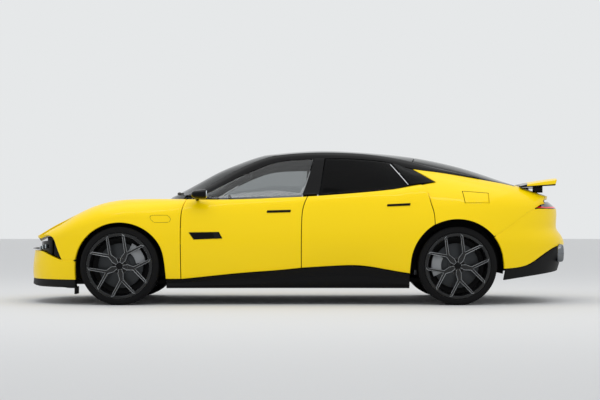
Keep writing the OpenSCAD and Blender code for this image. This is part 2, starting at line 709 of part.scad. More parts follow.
// Lamp bar across the tail
function lamp_grid() =
  [for (i = [0 : bumper_n]) [for (v = [0, 0.35, 1])
    let (
      s = abs(i / bumper_n * 2 - 1),
      z = lerp(lerp(881, 891, s ^ 6), lerp(952, 898, s ^ 3), v),
      a = lerp(90, tail_turn(back(753), 890), s),
      p = tail_point(i * 2 <= bumper_n ? a : 180 - a, min(z, 905))
    )
    [p[0] - 70 * v ^ 1.5 * (1 - s ^ 3), p[1] * lerp(1, 0.97, v), z]]];

module tail_lamp() {
  g = lamp_grid();
  color([0.35, 0.02, 0.02]) panel(g, shell(g, 14));
}

// Black sills below the painted sides
sill_n = 12;
function sill_grid() =
  [for (i = [0 : sill_n]) [for (v = [0, 0.25, 0.6, 1])
    let (
      x = lerp(fa + front_arch_r + 4, ra - rear_arch_r - 6, i / sill_n),
      top = sill_z(x) - shut_gap,
      z = lerp(152, top, v),
      y = side_y(x, z) - curve([[0, 6], [0.25, -8], [0.6, 14], [1, 4]], v)
    )
    [x, -y, z]]];

module sills() {
  g = sill_grid();
  color(black) both_sides() panel(g, [for (c = g) [for (p = c) [p[0], -tub_y - seam_gap, p[2]]]]);
}

// Posts behind the doors, shelves across the cabin, and pads under the hinged edges of hood and tailgate
module inner_frame() {
  h = hood_grid();
  w = window_grid();
  r = roof_grid();
  color(black) {
    both_sides() {
      translate([fa + 566, -door_inner_y + 0.4, floor_z + 0.3]) cube([80, 62, 600]);
      translate([mid + 150, -door_inner_y + 0.4, sill_z(mid + 250) - shut_gap + 0.4]) cube([100, 62, 610]);
      translate([ra - 296, -door_inner_y + 0.4, 800]) cube([135.7, 135, 180]);
    }
    for (j = [2, hood_m - 4]) {
      pad = part_of(hood_under(h, panel_t + 0.4), hood_n - 1, hood_n, j, j + 2);
      panel(pad, level(pad, 906));
    }
    translate([fa + 490, -745 * wide, 700]) cube([75.7, 1490 * wide, 206]);
    translate([ra - 160, -670 * wide, 800]) cube([24, 1340 * wide, 90]);
    translate([ra - 160, -490 * wide, 560]) cube([24, 980 * wide, 250]);
    head = concat(part_of(edge_drop(r, 16.4), 8, 9, 0, 12), part_of(edge_drop(w, 10.4), 0, 1, 0, 12));
    panel(head, lowered(head, 30));
  }
}

// Battery floor and cabin tub, with jack pads underneath
module battery_floor() {
  color(dark) {
    difference() {
      translate([fa + 440, -tub_y, 150]) cube([wheelbase - 890, 2 * tub_y, floor_z - 150]);
      for (x = [fa + 560, ra - 560]) both_sides()
        translate([x, 50 - tub_y, 149]) cylinder(h = 21, r = 30);
    }
    translate([nose + 330, 50 * wide - tray_y, 170])
      cube([front_overhang + 109.7, 2 * (tray_y - 50 * wide), 40]);
    translate([ra - 449.7, 40 * wide - tray_y, 190]) cube([430, 2 * (tray_y - 40 * wide), 40]);
    translate([ra - 19.4, -tray_y, 190]) cube([30, 2 * tray_y, 140]);
    translate([ra + 10.9, -tray_y, 300]) cube([back(860.9) - ra - 10.9, 2 * tray_y, 30]);
  }
}

module drive_units() {
  color(grey) {
    translate([fa - 150, -200, 210.3]) cube([330, 400, 280]);
    translate([ra - 300, -230, 230.3]) cube([278, 460, 240]);
  }
}

// Half shafts and arms between the drive units and the knuckles
module suspension() {
  front_end = kingpin_y - 26.5;
  rear_end = rear_hub_y - knuckle_in - 30.3;
  color(dark) both_sides() {
    translate([fa, -200.3, hub_z]) rotate([90, 0, 0]) cylinder(h = kingpin_y - 254, r = 16);
    translate([fa - 30, -front_end, 216]) cube([60, front_end - 200.3, 16]);
    translate([ra - 30, -rear_end, 216]) cube([60, rear_end - tray_y - seam_gap, 16]);
  }
}

// Brake caliper round the edge of a disc
module caliper(r, from, to) {
  rotate([0, 0, from]) rotate_extrude(angle = to - from)
    difference() {
      translate([r - 62, -44]) square([88, 88]);
      translate([r - 64, -20]) square([68, 40]);
    }
}

module spindle(w) {
  rotate([90, 0, 0]) cylinder(h = knuckle_in + w / 2 - 54, r = 32);
  translate([0, -knuckle_in - w / 2 + 138, 0]) rotate([90, 0, 0]) children();
}
module knuckle() {
  cylinder(h = 330, r = 26, center = true);
  translate([-40, -30, -50]) cube([80, 60, 100]);
  spindle(front_tyre_w) caliper(205, 8, 62);
  translate([0, -34, -8]) cube([170, 22, 34]);
}
module knuckle_left() {
  color(grey) translate([fa, -kingpin_y, hub_z]) knuckle();
}
module knuckle_right() {
  color(grey) mirror([0, 1, 0]) translate([fa, -kingpin_y, hub_z]) knuckle();
}
module rear_knuckles() {
  color(grey) both_sides() translate([ra, -rear_hub_y + knuckle_in, hub_z]) {
    translate([-45, -30, -142]) cube([90, 60, 230]);
    spindle(rear_tyre_w) caliper(205, 150, 205);
    translate([-170, -36, -8]) cube([170, 22, 34]);
  }
}

// Wheel arch liners, open towards the wheel, and short of the rear doors
module liner(r, in_y, edge_y, from, to, rim_from, rim_to, foot_y) {
  rotate([90, 0, 0]) {
    rotate([0, 0, from]) rotate_extrude(angle = to - from) polygon([
      [200, in_y], [r + 10, in_y], [r + 10, edge_y], [r + 5, edge_y], [r + 5, in_y + 5], [200, in_y + 5]]);
    rotate([0, 0, rim_from]) rotate_extrude(angle = rim_to - rim_from)
      translate([r + 4, edge_y - 10]) square([8, 905 * wide + 10 - edge_y]);
    rotate([0, 0, from + 6]) rotate_extrude(angle = rim_from - from - 7)
      translate([r + 4, edge_y - 10]) square([8, foot_y + 10 - edge_y]);
  }
}
module arch_liners() {
  color(black) both_sides() {
    translate([fa, 0, hub_z]) liner(front_arch_r, 450 * wide, 850 * wide, -18, 186, 20, 138, 885 * wide);
    translate([ra, 0, hub_z]) liner(rear_arch_r, 500 * wide, door_inner_y - 7, -10, 188, 42, 113, 885 * wide);
  }
}

// Tyre, rim and disc stand round the y axis; the outer side is at -y
module tyre(w) {
  b = w / 2;
  rotate([90, 0, 0]) rotate_extrude($fn = 72) polygon([
    [rim_r - 16.7, -b + 13.3], [rim_r + 3, -b + 13.3], [rim_r + 4, -b + 4], [rim_r + 22, -b],
    [tyre_r - 22, -b + 1], [tyre_r - 8, -b + 8], [tyre_r - 2, -b + 24], [tyre_r, -b + 50],
    [tyre_r, b - 50], [tyre_r - 2, b - 24], [tyre_r - 8, b - 8], [tyre_r - 22, b - 1],
    [rim_r + 22, b], [rim_r + 4, b - 4], [rim_r + 3, b - 13.3], [rim_r - 16.7, b - 13.3]]);
}
module spoke_shape() {
  for (k = [0 : 4]) rotate(62 + 72 * k) {
    polygon([[50, -30], [126, -19], [rim_r - 30, -118], [rim_r - 30, -86], [146, -1],
      [146, 1], [rim_r - 30, 86], [rim_r - 30, 118], [126, 19], [50, 30]]);
  }
}
module rim(w) {
  b = w / 2;
  f = b - 4;
  rotate([90, 0, 0]) {
    difference() {
      union() {
        rotate_extrude($fn = 72) polygon([
          [rim_r - 34, -b + 4], [rim_r, -b + 4], [rim_r, -b + 13], [rim_r - 17, -b + 13],
          [rim_r - 17, b - 13], [rim_r, b - 13], [rim_r, b - 4], [rim_r - 24, b - 4],
          [rim_r - 32, b - 30], [rim_r - 34, b - 60]]);
        intersection() {
          translate([0, 0, -20]) linear_extrude(b + 60) spoke_shape();
          rotate_extrude($fn = 72) polygon([
            [0, f - 62], [80, f - 60], [rim_r - 20, f - 34], [rim_r - 20, f - 2], [80, f - 24], [0, f - 28]]);
        }
        translate([0, 0, f - 86]) cylinder(h = 66, r = 74);
      }
      translate([0, 0, f - 87]) cylinder(h = 40, r = 32.3);
    }
  }
}
module disc(w) {
  f = w / 2 - 4;
  rotate([90, 0, 0]) rotate_extrude($fn = 72) polygon([
    [33, f - 86.3], [88, f - 86.3], [88, f - 120], [205, f - 120], [205, f - 148], [80, f - 148],
    [80, f - 94], [33, f - 94]]);
}
module at_wheel(x, y, left) {
  if (left) translate([x, -y, hub_z]) children();
  else mirror([0, 1, 0]) translate([x, -y, hub_z]) children();
}
module tyre_front_left() {
  color(black) at_wheel(fa, front_hub_y, true) tyre(front_tyre_w);
}
module tyre_front_right() {
  color(black) at_wheel(fa, front_hub_y, false) tyre(front_tyre_w);
}
module tyre_rear_left() {
  color(black) at_wheel(ra, rear_hub_y, true) tyre(rear_tyre_w);
}
module tyre_rear_right() {
  color(black) at_wheel(ra, rear_hub_y, false) tyre(rear_tyre_w);
}
module rim_front_left() {
  color(dark) at_wheel(fa, front_hub_y, true) rim(front_tyre_w);
}
module rim_front_right() {
  color(dark) at_wheel(fa, front_hub_y, false) rim(front_tyre_w);
}
module rim_rear_left() {
  color(dark) at_wheel(ra, rear_hub_y, true) rim(rear_tyre_w);
}
module rim_rear_right() {
  color(dark) at_wheel(ra, rear_hub_y, false) rim(rear_tyre_w);
}
module disc_front_left() {
  color(grey) at_wheel(fa, front_hub_y, true) disc(front_tyre_w);
}
module disc_front_right() {
  color(grey) at_wheel(fa, front_hub_y, false) disc(front_tyre_w);
}
module disc_rear_left() {
  color(grey) at_wheel(ra, rear_hub_y, true) disc(rear_tyre_w);
}
module disc_rear_right() {
  color(grey) at_wheel(ra, rear_hub_y, false) disc(rear_tyre_w);
}

// Door mirrors: a slim pod on an arm that stands on the door
module door_mirror() {
  hull() {
    translate([fa + 700, -965 * wide, 1005]) scale([1.2, 1.6, 0.9]) sphere(r = 42, $fn = 24);
    translate([fa + 780, -1010 * wide, 1008]) scale([0.4, 1.5, 0.95]) sphere(r = 46, $fn = 24);
  }
  hull() {
    translate([fa + 724, -930 * wide, 985]) sphere(r = 15, $fn = 16);
    translate([fa + 700, -858 * wide, 958]) sphere(r = 13, $fn = 16);
  }
}
module mirror_left() {
  color(black) door_mirror();
}
module mirror_right() {
  color(black) mirror([0, 1, 0]) door_mirror();
}

// Cabin
module dashboard() {
  color(dark) {
    translate([fa + 585, 700 * wide, 0]) rotate([90, 0, 0]) linear_extrude(1400 * wide) polygon([
      [-18.7, 700], [-18.7, 900], [120, 935], [330, 925], [390, 880], [360, 800], [240, 720]]);
    translate([fa + 700, -130, floor_z + 0.3]) cube([980, 260, 260]);
  }
}
module steering_wheel() {
  color(black) translate([fa + 1040, -360 * wide, 850]) rotate([0, 65, 0]) {
    rotate_extrude() translate([172, 0]) circle(r = 15, $fn = 20);
    cylinder(h = 30, r = 52, center = true);
    for (a = [0, 120, 240]) rotate([0, 0, a]) translate([40, -14, -6]) cube([125, 28, 12]);
    mirror([0, 0, 1]) cylinder(h = 75, r = 24);
  }
}
module one_seat(x, w) {
  translate([x, w / 2, 0]) rotate([90, 0, 0]) linear_extrude(w) polygon([
    [0, floor_z + 0.3], [520, floor_z + 0.3], [560, 420], [760, 1010 * tall], [800, 1120 * tall],
    [770, 1150 * tall], [700, 1120 * tall], [660, 1000 * tall], [500, cushion_z - 10],
    [300, cushion_z - 25], [20, cushion_z + 8], [-20, cushion_z - 30]]);
}
module seats() {
  color(dark) {
    both_sides() translate([0, -380 * wide, 0]) one_seat(mid - 330, 480 * wide);
    both_sides() translate([0, -285 * wide, 0]) one_seat(min(mid + 640, ra - 870), 400 * wide);
  }
}

battery_floor();
drive_units();
suspension();
rear_knuckles();
inner_frame();
sills();
front_bumper();
front_splitter();
grille_band();
headlamps();
fenders();
arch_liners();
cowl();
windshield();
side_rails();
roof();
quarters();
charge_flap();
charge_tray();
quarter_glass();
rear_bumper();
rear_diffuser();
tail_lamp();
dashboard();
seats();
hood();
tailgate();
rear_window();
spoiler();
door_front_left();
door_front_right();
door_rear_left();
door_rear_right();
glass_front_left();
glass_front_right();
glass_rear_left();
glass_rear_right();
mirror_left();
mirror_right();
knuckle_left();
knuckle_right();
steering_wheel();
tyre_front_left();
tyre_front_right();
tyre_rear_left();
tyre_rear_right();
rim_front_left();
rim_front_right();
rim_rear_left();
rim_rear_right();
disc_front_left();
disc_front_right();
disc_rear_left();
disc_rear_right();
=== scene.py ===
"""Looks of the electric sports sedan: panels, glass, lamps, wheels, cabin and studio."""

import json
import logging
import math
from contextlib import contextmanager
from dataclasses import dataclass, field, replace
from enum import Enum
from typing import Callable, Iterator, Optional

import bpy
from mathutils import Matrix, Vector
from mathutils.bvhtree import BVHTree

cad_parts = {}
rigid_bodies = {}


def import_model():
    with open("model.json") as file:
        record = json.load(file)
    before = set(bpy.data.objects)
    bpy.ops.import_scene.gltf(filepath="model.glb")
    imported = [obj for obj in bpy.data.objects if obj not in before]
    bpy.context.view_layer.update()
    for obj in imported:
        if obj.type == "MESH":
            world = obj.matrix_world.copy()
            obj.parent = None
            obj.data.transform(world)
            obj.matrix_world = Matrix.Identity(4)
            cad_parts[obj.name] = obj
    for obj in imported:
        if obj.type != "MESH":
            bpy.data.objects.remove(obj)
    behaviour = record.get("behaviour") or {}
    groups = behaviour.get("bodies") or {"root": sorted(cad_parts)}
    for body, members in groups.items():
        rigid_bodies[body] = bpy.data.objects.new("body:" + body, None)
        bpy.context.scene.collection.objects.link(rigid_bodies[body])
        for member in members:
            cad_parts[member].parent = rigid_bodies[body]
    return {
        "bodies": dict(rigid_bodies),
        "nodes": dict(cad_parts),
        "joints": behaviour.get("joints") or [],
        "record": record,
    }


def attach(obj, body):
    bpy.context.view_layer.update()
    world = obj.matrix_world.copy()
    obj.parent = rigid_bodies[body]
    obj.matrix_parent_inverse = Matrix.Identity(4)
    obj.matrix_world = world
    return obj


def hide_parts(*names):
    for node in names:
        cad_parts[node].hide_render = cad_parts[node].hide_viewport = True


LOG = logging.getLogger("sedan")
Point = tuple[float, float, float]
# Where lines of sight start: beside or before the car, above it, and about where its side stands
OUTSIDE, ABOVE, FLANK = 3.0, 2.0, 0.9
# Radians that a wave texture of scale 1 turns per metre
WAVE_RATE = 20


class Side(Enum):
    """Sides of the car, by the sign of y."""

    LEFT = -1
    RIGHT = 1

    @property
    def word(self) -> str:
        """Name of the side, as it ends the names of pieces."""
        return self.name.lower()


def linear(code: str) -> tuple[float, float, float, float]:
    """Turns an sRGB hex colour into a linear one.

    Args:
        code: Colour as six hex digits.

    Returns:
        Linear red, green, blue and alpha.
    """
    parts = [int(code[i : i + 2], 16) / 255 for i in (0, 2, 4)]
    red, green, blue = (p / 12.92 if p <= 0.04045 else ((p + 0.055) / 1.055) ** 2.4 for p in parts)
    return (red, green, blue, 1.0)


def add_node(
    tree: bpy.types.NodeTree, kind: str, values: Optional[dict] = None, settings: Optional[dict] = None
) -> bpy.types.Node:
    """Adds one shader node.

    Args:
        tree: Node tree that gets the node.
        kind: Type name of the node.
        values: Input sockets and what goes in, a value or an output socket.
        settings: Attributes of the node itself.

    Returns:
        The new node.
    """
    node = tree.nodes.new(kind)
    for name, value in (settings or {}).items():
        setattr(node, name, value)
    for name, value in (values or {}).items():
        if isinstance(value, bpy.types.NodeSocket):
            tree.links.new(value, node.inputs[name])
        else:
            node.inputs[name].default_value = value
    return node


@dataclass(frozen=True)
class Finish:
    """A plain surface: one colour with the sockets of the main shader set to constants."""

    name: str
    colour: str
    roughness: float = 0.4
    metallic: float = 0.0
    ior: float = 1.5
    coat: float = 0.0
    coat_roughness: float = 0.03
    transmission: float = 0.0
    glow: float = 0.0
    sheen: float = 0.0
    specular: float = 0.5

    def material(self) -> bpy.types.Material:
        """Makes the material on first use.

        Returns:
            The material of this finish.
        """
        ready = bpy.data.materials.get(self.name)
        if ready:
            return ready
        made = bpy.data.materials.new(self.name)
        made.use_nodes = True
        tree = made.node_tree
        shader = tree.nodes["Principled BSDF"]
        values = {
            "Base Color": linear(self.colour),
            "Roughness": self.roughness,
            "Metallic": self.metallic,
            "IOR": self.ior,
            "Coat Weight": self.coat,
            "Coat Roughness": self.coat_roughness,
            "Transmission Weight": self.transmission,
            "Emission Color": linear(self.colour),
            "Emission Strength": self.glow,
            "Sheen Weight": self.sheen,
            "Specular IOR Level": self.specular,
        }
        for name, value in values.items():
            shader.inputs[name].default_value = value
        made.diffuse_color = linear(self.colour)
        self.pattern(tree, shader)
        return made

    def pattern(self, tree: bpy.types.NodeTree, shader: bpy.types.Node) -> None:
        """Leaves a plain finish without a pattern."""


@dataclass(frozen=True)
class GrainedFinish(Finish):
    """A surface with a fine relief, such as moulded grain, hide or rubber."""

    size_mm: float = 1.2
    depth_mm: float = 0.15
    spread: float = 0.08

    def pattern(self, tree: bpy.types.NodeTree, shader: bpy.types.Node) -> None:
        """Adds a noise relief and a slight change of roughness.

        Args:
            tree: Node tree of the material.
            shader: Main shader of the material.
        """
        place = add_node(tree, "ShaderNodeTexCoord")
        noise = add_node(
            tree,
            "ShaderNodeTexNoise",
            {"Vector": place.outputs["Object"], "Scale": 1000 / self.size_mm, "Detail": 3.0},
        )
        relief = add_node(
            tree,
            "ShaderNodeBump",
            {"Height": noise.outputs["Fac"], "Distance": self.depth_mm / 1000, "Strength": 0.6},
        )
        tree.links.new(relief.outputs["Normal"], shader.inputs["Normal"])
        wear = add_node(
            tree,
            "ShaderNodeMapRange",
            {
                "Value": noise.outputs["Fac"],
                "To Min": self.roughness - self.spread,
                "To Max": self.roughness + self.spread,
            },
        )
        tree.links.new(wear.outputs["Result"], shader.inputs["Roughness"])


@dataclass(frozen=True)
class TurnedFinish(Finish):
    """A metal face with the fine rings that a lathe leaves around one wheel axis."""

    centre: Point = (0.0, 0.0, 0.0)
    pitch_mm: float = 1.6
    smoother: float = 0.07
    rougher: float = 0.1

    def pattern(self, tree: bpy.types.NodeTree, shader: bpy.types.Node) -> None:
        """Adds rings around the wheel axis as changes of roughness.

        Args:
            tree: Node tree of the material.
            shader: Main shader of the material.
        """
        place = add_node(tree, "ShaderNodeTexCoord")
        shift = add_node(
            tree,
            "ShaderNodeMapping",
            {"Vector": place.outputs["Object"], "Location": tuple(-c for c in self.centre)},
        )
        rings = add_node(
            tree,
            "ShaderNodeTexWave",
            {"Vector": shift.outputs["Vector"], "Scale": 1000 / self.pitch_mm / WAVE_RATE, "Distortion": 0.4},
            {"wave_type": "RINGS", "rings_direction": "Y"},
        )
        wear = add_node(
            tree,
            "ShaderNodeMapRange",
            {
                "Value": rings.outputs["Fac"],
                "To Min": self.roughness - self.smoother,
                "To Max": self.roughness + self.rougher,
            },
        )
        tree.links.new(wear.outputs["Result"], shader.inputs["Roughness"])


# Sprayed solid base coat under clear lacquer, with the slight peel of the spray: deep even yellow, sharp gloss
PAINT = GrainedFinish(
    "Yellow lacquered paint", "FFDA00", roughness=0.4, coat=0.34, coat_roughness=0.02, specular=0.08,
    size_mm=9.0, depth_mm=0.02, spread=0.03,
)
# Lacquered black mouldings: the eye gets a mirror on black
GLOSS_BLACK = GrainedFinish(
    "Gloss black moulding", "030304", roughness=0.14, coat=0.07, specular=0.1, size_mm=7.0, depth_mm=0.015, spread=0.03,
)
# Injection-moulded polypropylene with a fine spark-eroded grain
SATIN_BLACK = GrainedFinish("Grained black plastic", "0B0B0C", roughness=0.6, size_mm=1.1, depth_mm=0.08, specular=0.2)
# Door glass with a light grey tint: the cabin shows through it
CLEAR_GLASS = Finish("Grey tinted glass", "B9BCBD", roughness=0.0, ior=1.4, transmission=1.0)
# Laminated windscreen with a grey tint, deepened into painted shade of the cabin behind it: nearly black from the side,
# the dashboard just shows from the front
SCREEN_GLASS_WITH_PAINTED_SHADE = Finish("Dark laminated screen", "34383B", roughness=0.0, ior=1.08, transmission=0.95)
# Privacy glass of the rear half, nearly black from outside
DARK_GLASS = Finish("Privacy glass", "121416", roughness=0.02, ior=1.16, transmission=0.9)
# Black glass roof over the cabin, lacquered on the inside
ROOF_GLASS = Finish("Black roof glass", "030304", roughness=0.05, specular=0.07)
# Bright-dipped aluminium strip along the rear door glass
BRIGHT_TRIM = GrainedFinish("Bright anodised strip", "B5B8BA", roughness=0.22, metallic=1.0, size_mm=0.8, depth_mm=0.02)
# Cured tyre rubber, matt with a dusty sidewall
RUBBER = GrainedFinish("Tyre rubber", "0D0D0E", roughness=0.74, size_mm=2.2, depth_mm=0.2, specular=0.15)
# Cast alloy in dark grey lacquer
ALLOY = GrainedFinish(
    "Dark grey lacquered alloy", "0F1011", roughness=0.3, metallic=0.45, coat=0.2,
    size_mm=5.0, depth_mm=0.02, spread=0.04,
)
# Edges of the spokes, cut bright after painting
CUT_ALLOY = GrainedFinish("Bright cut alloy", "A6A9AC", roughness=0.36, metallic=0.55, size_mm=0.9, depth_mm=0.02)
# Brake caliper, cast aluminium in grey enamel
CALIPER = GrainedFinish(
    "Grey caliper enamel", "9FA2A5", roughness=0.4, metallic=0.35, coat=0.2, size_mm=2.5, depth_mm=0.08,
)
# Red moulded lens, almost black where no lamp is behind it
RED_LENS = Finish("Dark lamp lens", "0E0506", roughness=0.06, coat=0.5, specular=0.4)
# The lit line of the tail lamp
RED_LIGHT = Finish("Red light line", "D4202A", roughness=0.2, glow=0.5)
# Polished steel of the outlets, smoked by a dark coating
SMOKED_STEEL = GrainedFinish(
    "Smoked polished steel", "7C7F82", roughness=0.16, metallic=1.0, size_mm=1.5, depth_mm=0.02,
)
# Aluminised reflector and lamp body
LAMP_BODY = Finish("Lamp module", "A9B0B4", roughness=0.2, metallic=0.9)
# Daylight lamps of a headlamp behind a frosted guide
WHITE_LIGHT = Finish("Daylight lamp", "E9EEF0", roughness=0.3, glow=0.25)
# Mirror coating behind flat glass
MIRROR = Finish("Mirror glass", "C7CED2", roughness=0.02, metallic=1.0)
# Smooth dark leather with pebbled grain
LEATHER = GrainedFinish("Black leather", "201E1B", roughness=0.5, size_mm=2.4, depth_mm=0.25, sheen=0.1)
# Knitted cloth on moulded card, glued: soft black without gloss
LINING = GrainedFinish(
    "Black knitted lining", "0C0C0D", roughness=0.9, size_mm=1.6, depth_mm=0.2, sheen=0.15, specular=0.1,
)
# Sand-cast housings and arms under the car: dull grey with a coarse skin
CASTING = GrainedFinish("Cast aluminium", "6F7376", roughness=0.5, metallic=0.7, size_mm=3.0, depth_mm=0.12)


class Bench:
    """Work bench: the few modelling steps that every piece goes through."""

    @staticmethod
    def focus(piece: bpy.types.Object) -> None:
        """Makes a piece the only selected and the active one.

        Args:
            piece: Piece to work on.
        """
        bpy.ops.object.select_all(action="DESELECT")
        piece.select_set(True)
        bpy.context.view_layer.objects.active = piece

    @staticmethod
    @contextmanager
    def editing(piece: bpy.types.Object, mode: str = "FACE", everything: bool = False) -> Iterator[None]:
        """Opens a piece for editing and closes it afterwards.

        Args:
            piece: Piece to edit.
            mode: What is selected, VERT, EDGE or FACE.
            everything: Whether all of it starts out selected.

        Returns:
            A context in edit mode.
        """
        Bench.focus(piece)
        bpy.ops.object.mode_set(mode="EDIT")
        bpy.ops.mesh.select_mode(type=mode)
        if everything:
            bpy.ops.mesh.select_all(action="SELECT")
        yield
        bpy.ops.object.mode_set(mode="OBJECT")

    @staticmethod
    def pick(piece: bpy.types.Object, test: Callable[[bpy.types.MeshPolygon], bool]) -> None:
        """Selects the faces that pass a test.

        Args:
            piece: Piece whose faces are picked.
            test: Tells whether a face is wanted.
        """
        mesh = piece.data
        for part in (*mesh.vertices, *mesh.edges):
            part.select = False
        for face in mesh.polygons:
            face.select = test(face)

    @staticmethod
    def apply(piece: bpy.types.Object, kind: str, **settings: object) -> None:
        """Adds a modifier and applies it.

        Args:
            piece: Piece that is changed.
            kind: Type of the modifier.
            settings: Settings of the modifier.
        """
        Bench.focus(piece)
        step = piece.modifiers.new(kind.lower(), kind)
        for name, value in settings.items():
            setattr(step, name, value)
        bpy.ops.object.modifier_apply(modifier=step.name)

    @staticmethod
    def settle(piece: bpy.types.Object, label: str, angle: float = 35.0) -> bpy.types.Object:
        """Puts the place of a piece into its mesh and shades it smooth.

        Args:
            piece: Piece to finish.
            label: Name it gets.
            angle: Edges sharper than this many degrees stay sharp.

        Returns:
            The same piece.
        """
        Bench.focus(piece)
        bpy.ops.object.transform_apply(location=True, rotation=True, scale=True)
        bpy.ops.object.shade_smooth_by_angle(angle=math.radians(angle))
        piece.name = label
        piece.data.name = label
        return piece

    @staticmethod
    def dress(piece: bpy.types.Object, *finishes: Finish) -> None:
        """Gives a piece its materials.

        Args:
            piece: Piece to dress.
            finishes: Its surfaces; the first one covers every face that has no other.
        """
        piece.data.materials.clear()
        for finish in finishes:
            piece.data.materials.append(finish.material())

    @staticmethod
    def bevel(piece: bpy.types.Object, width: float, angle: float = 50.0, segments: int = 2, **settings: int) -> None:
        """Rounds the sharp edges of a piece.

        Args:
            piece: Piece that is changed.
            width: Width of the rounding.
            angle: Edges sharper than this many degrees are rounded.
            segments: Steps of the rounding.
            settings: Other settings of the modifier.
        """
        limit = {"limit_method": "ANGLE", "angle_limit": math.radians(angle)}
        Bench.apply(piece, "BEVEL", width=width, segments=segments, **limit, **settings)

    @staticmethod
    def new(shape: Callable[..., set], **settings: object) -> bpy.types.Object:
        """Makes a piece from one of the basic shapes.

        Args:
            shape: Operator that adds the shape.
            settings: Settings of the operator.

        Returns:
            The new piece, the only selected and the active one.
        """
        bpy.ops.object.select_all(action="DESELECT")
        shape(**settings)
        return bpy.context.object

    @staticmethod
    def sheet(columns: int, rows: int) -> bpy.types.Object:
        """Makes a flat sheet of fields that reaches from -1 to 1 both ways."""
        return Bench.new(bpy.ops.mesh.primitive_grid_add, x_subdivisions=columns, y_subdivisions=rows, size=2)

    @staticmethod
    def loop(points: list[Point]) -> bpy.types.Object:
        """Makes a closed line of edges.

        Args:
            points: Places along the line.

        Returns:
            The new line, the only selected and the active piece.
        """
        piece = Bench.new(bpy.ops.mesh.primitive_circle_add, vertices=len(points), radius=1.0)
        for vertex, place in zip(piece.data.vertices, points):
            vertex.co = place
        return piece

    @staticmethod
    def cord(points: list[Point], width: float, detail: int) -> bpy.types.Object:
        """Makes a closed line with a section.

        Args:
            points: Places along the line.
            width: Width of the section.
            detail: Steps that round the section.

        Returns:
            The line as a mesh.
        """
        Bench.loop(points)
        bpy.ops.object.convert(target="CURVE")
        curve = bpy.context.object.data
        curve.bevel_depth = width / 2
        curve.bevel_resolution = detail
        bpy.ops.object.convert(target="MESH")
        return bpy.context.object

    @staticmethod
    def join(pieces: list[bpy.types.Object]) -> bpy.types.Object:
        """Joins pieces into one.

        Args:
            pieces: Pieces to join; the first one stays.

        Returns:
            The joined piece.
        """
        Bench.focus(pieces[0])
        for piece in pieces:
            piece.select_set(True)
        bpy.ops.object.join()
        return pieces[0]


@dataclass
class Car:
    """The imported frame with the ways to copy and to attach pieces."""

    frame: dict
    owner: dict[str, str] = field(default_factory=dict)
    trees: dict[str, BVHTree] = field(default_factory=dict)

    def __post_init__(self) -> None:
        """Notes which body each node belongs to."""
        for body, members in self.frame["record"]["behaviour"]["bodies"].items():
            for node in members:
                self.owner[node] = body

    def copy(self, node: str, label: str) -> bpy.types.Object:
        """Copies a node as a closed mesh to work on.

        Args:
            node: Name of the node.
            label: Name of the copy.

        Returns:
            The copy, at the origin and without a parent.
        """
        source = self.frame["nodes"][node]
        piece = source.copy()
        piece.data = source.data.copy()
        piece.parent = None
        piece.name = label
        for key in list(piece.keys()):
            del piece[key]
        piece.hide_viewport = False
        piece.hide_render = False
        bpy.context.scene.collection.objects.link(piece)
        piece.hide_set(False)
        with Bench.editing(piece, "VERT", everything=True):
            bpy.ops.mesh.remove_doubles(threshold=0.00002)
            bpy.ops.mesh.customdata_custom_splitnormals_clear()
            bpy.ops.mesh.normals_make_consistent(inside=False)
        return piece

    def attach(self, piece: bpy.types.Object, body: str, *nodes: str) -> bpy.types.Object:
        """Lets a piece ride on a body and stand in for nodes.

        Args:
            piece: Finished piece.
            body: Body that carries it.
            nodes: Nodes that it replaces.

        Returns:
            The same piece.
        """
        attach(piece, body)
        if nodes:
            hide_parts(*nodes)
        LOG.info("%s on %s, %d faces", piece.name, body, len(piece.data.polygons))
        return piece

    def fit(
        self, piece: bpy.types.Object, label: str, angle: float, finish: Finish, body: str, *nodes: str
    ) -> bpy.types.Object:
        """Names, shades and dresses a piece and attaches it.

        Args:
            piece: Piece with its final shape.
            label: Name it gets.
            angle: Edges sharper than this many degrees stay sharp.
            finish: Surface of the whole piece.
            body: Body that carries it.
            nodes: Nodes that it replaces.

        Returns:
            The finished piece.
        """
        Bench.settle(piece, label, angle)
        Bench.dress(piece, finish)
        return self.attach(piece, body, *nodes)

    def tree(self, node: str) -> BVHTree:
        """Gets the search tree of a node, built on first use.

        Args:
            node: Name of the node.

        Returns:
            The tree over the faces of the node.
        """
        if node not in self.trees:
            mesh = self.frame["nodes"][node].data
            corners = [vertex.co for vertex in mesh.vertices]
            self.trees[node] = BVHTree.FromPolygons(corners, [tuple(face.vertices) for face in mesh.polygons])
        return self.trees[node]

    def ray(self, node: str, start: Point, way: Point, near: Optional[Point] = None) -> Vector:
        """Finds where a straight line meets a node.

        Args:
            node: Name of the node.
            start: Point outside the car.
            way: Direction to look in.
            near: Where to look for the nearest point if the line misses; the start, if left out.

        Returns:
            The first point that is met, or the nearest one of the node.
        """
        tree = self.tree(node)
        return tree.ray_cast(Vector(start), Vector(way))[0] or tree.find_nearest(Vector(near or start))[0]

    def skin_y(self, node: str, x: float, z: float, side: Side) -> float:
        """Place of a node's side skin at a length and height, seen from one side."""
        out = side.value
        return self.ray(node, (x, out * OUTSIDE, z), (0, -out, 0), (x, out * FLANK, z)).y

    def top_z(self, node: str, x: float, y: float) -> float:
        """Height of a node's upper skin at a place."""
        return self.ray(node, (x, y, ABOVE), (0, 0, -1)).z

    def front_x(self, node: str, y: float, z: float) -> float:
        """Place of a node's front face at a width and height."""
        return self.ray(node, (-OUTSIDE, y, z), (1, 0, 0)).x


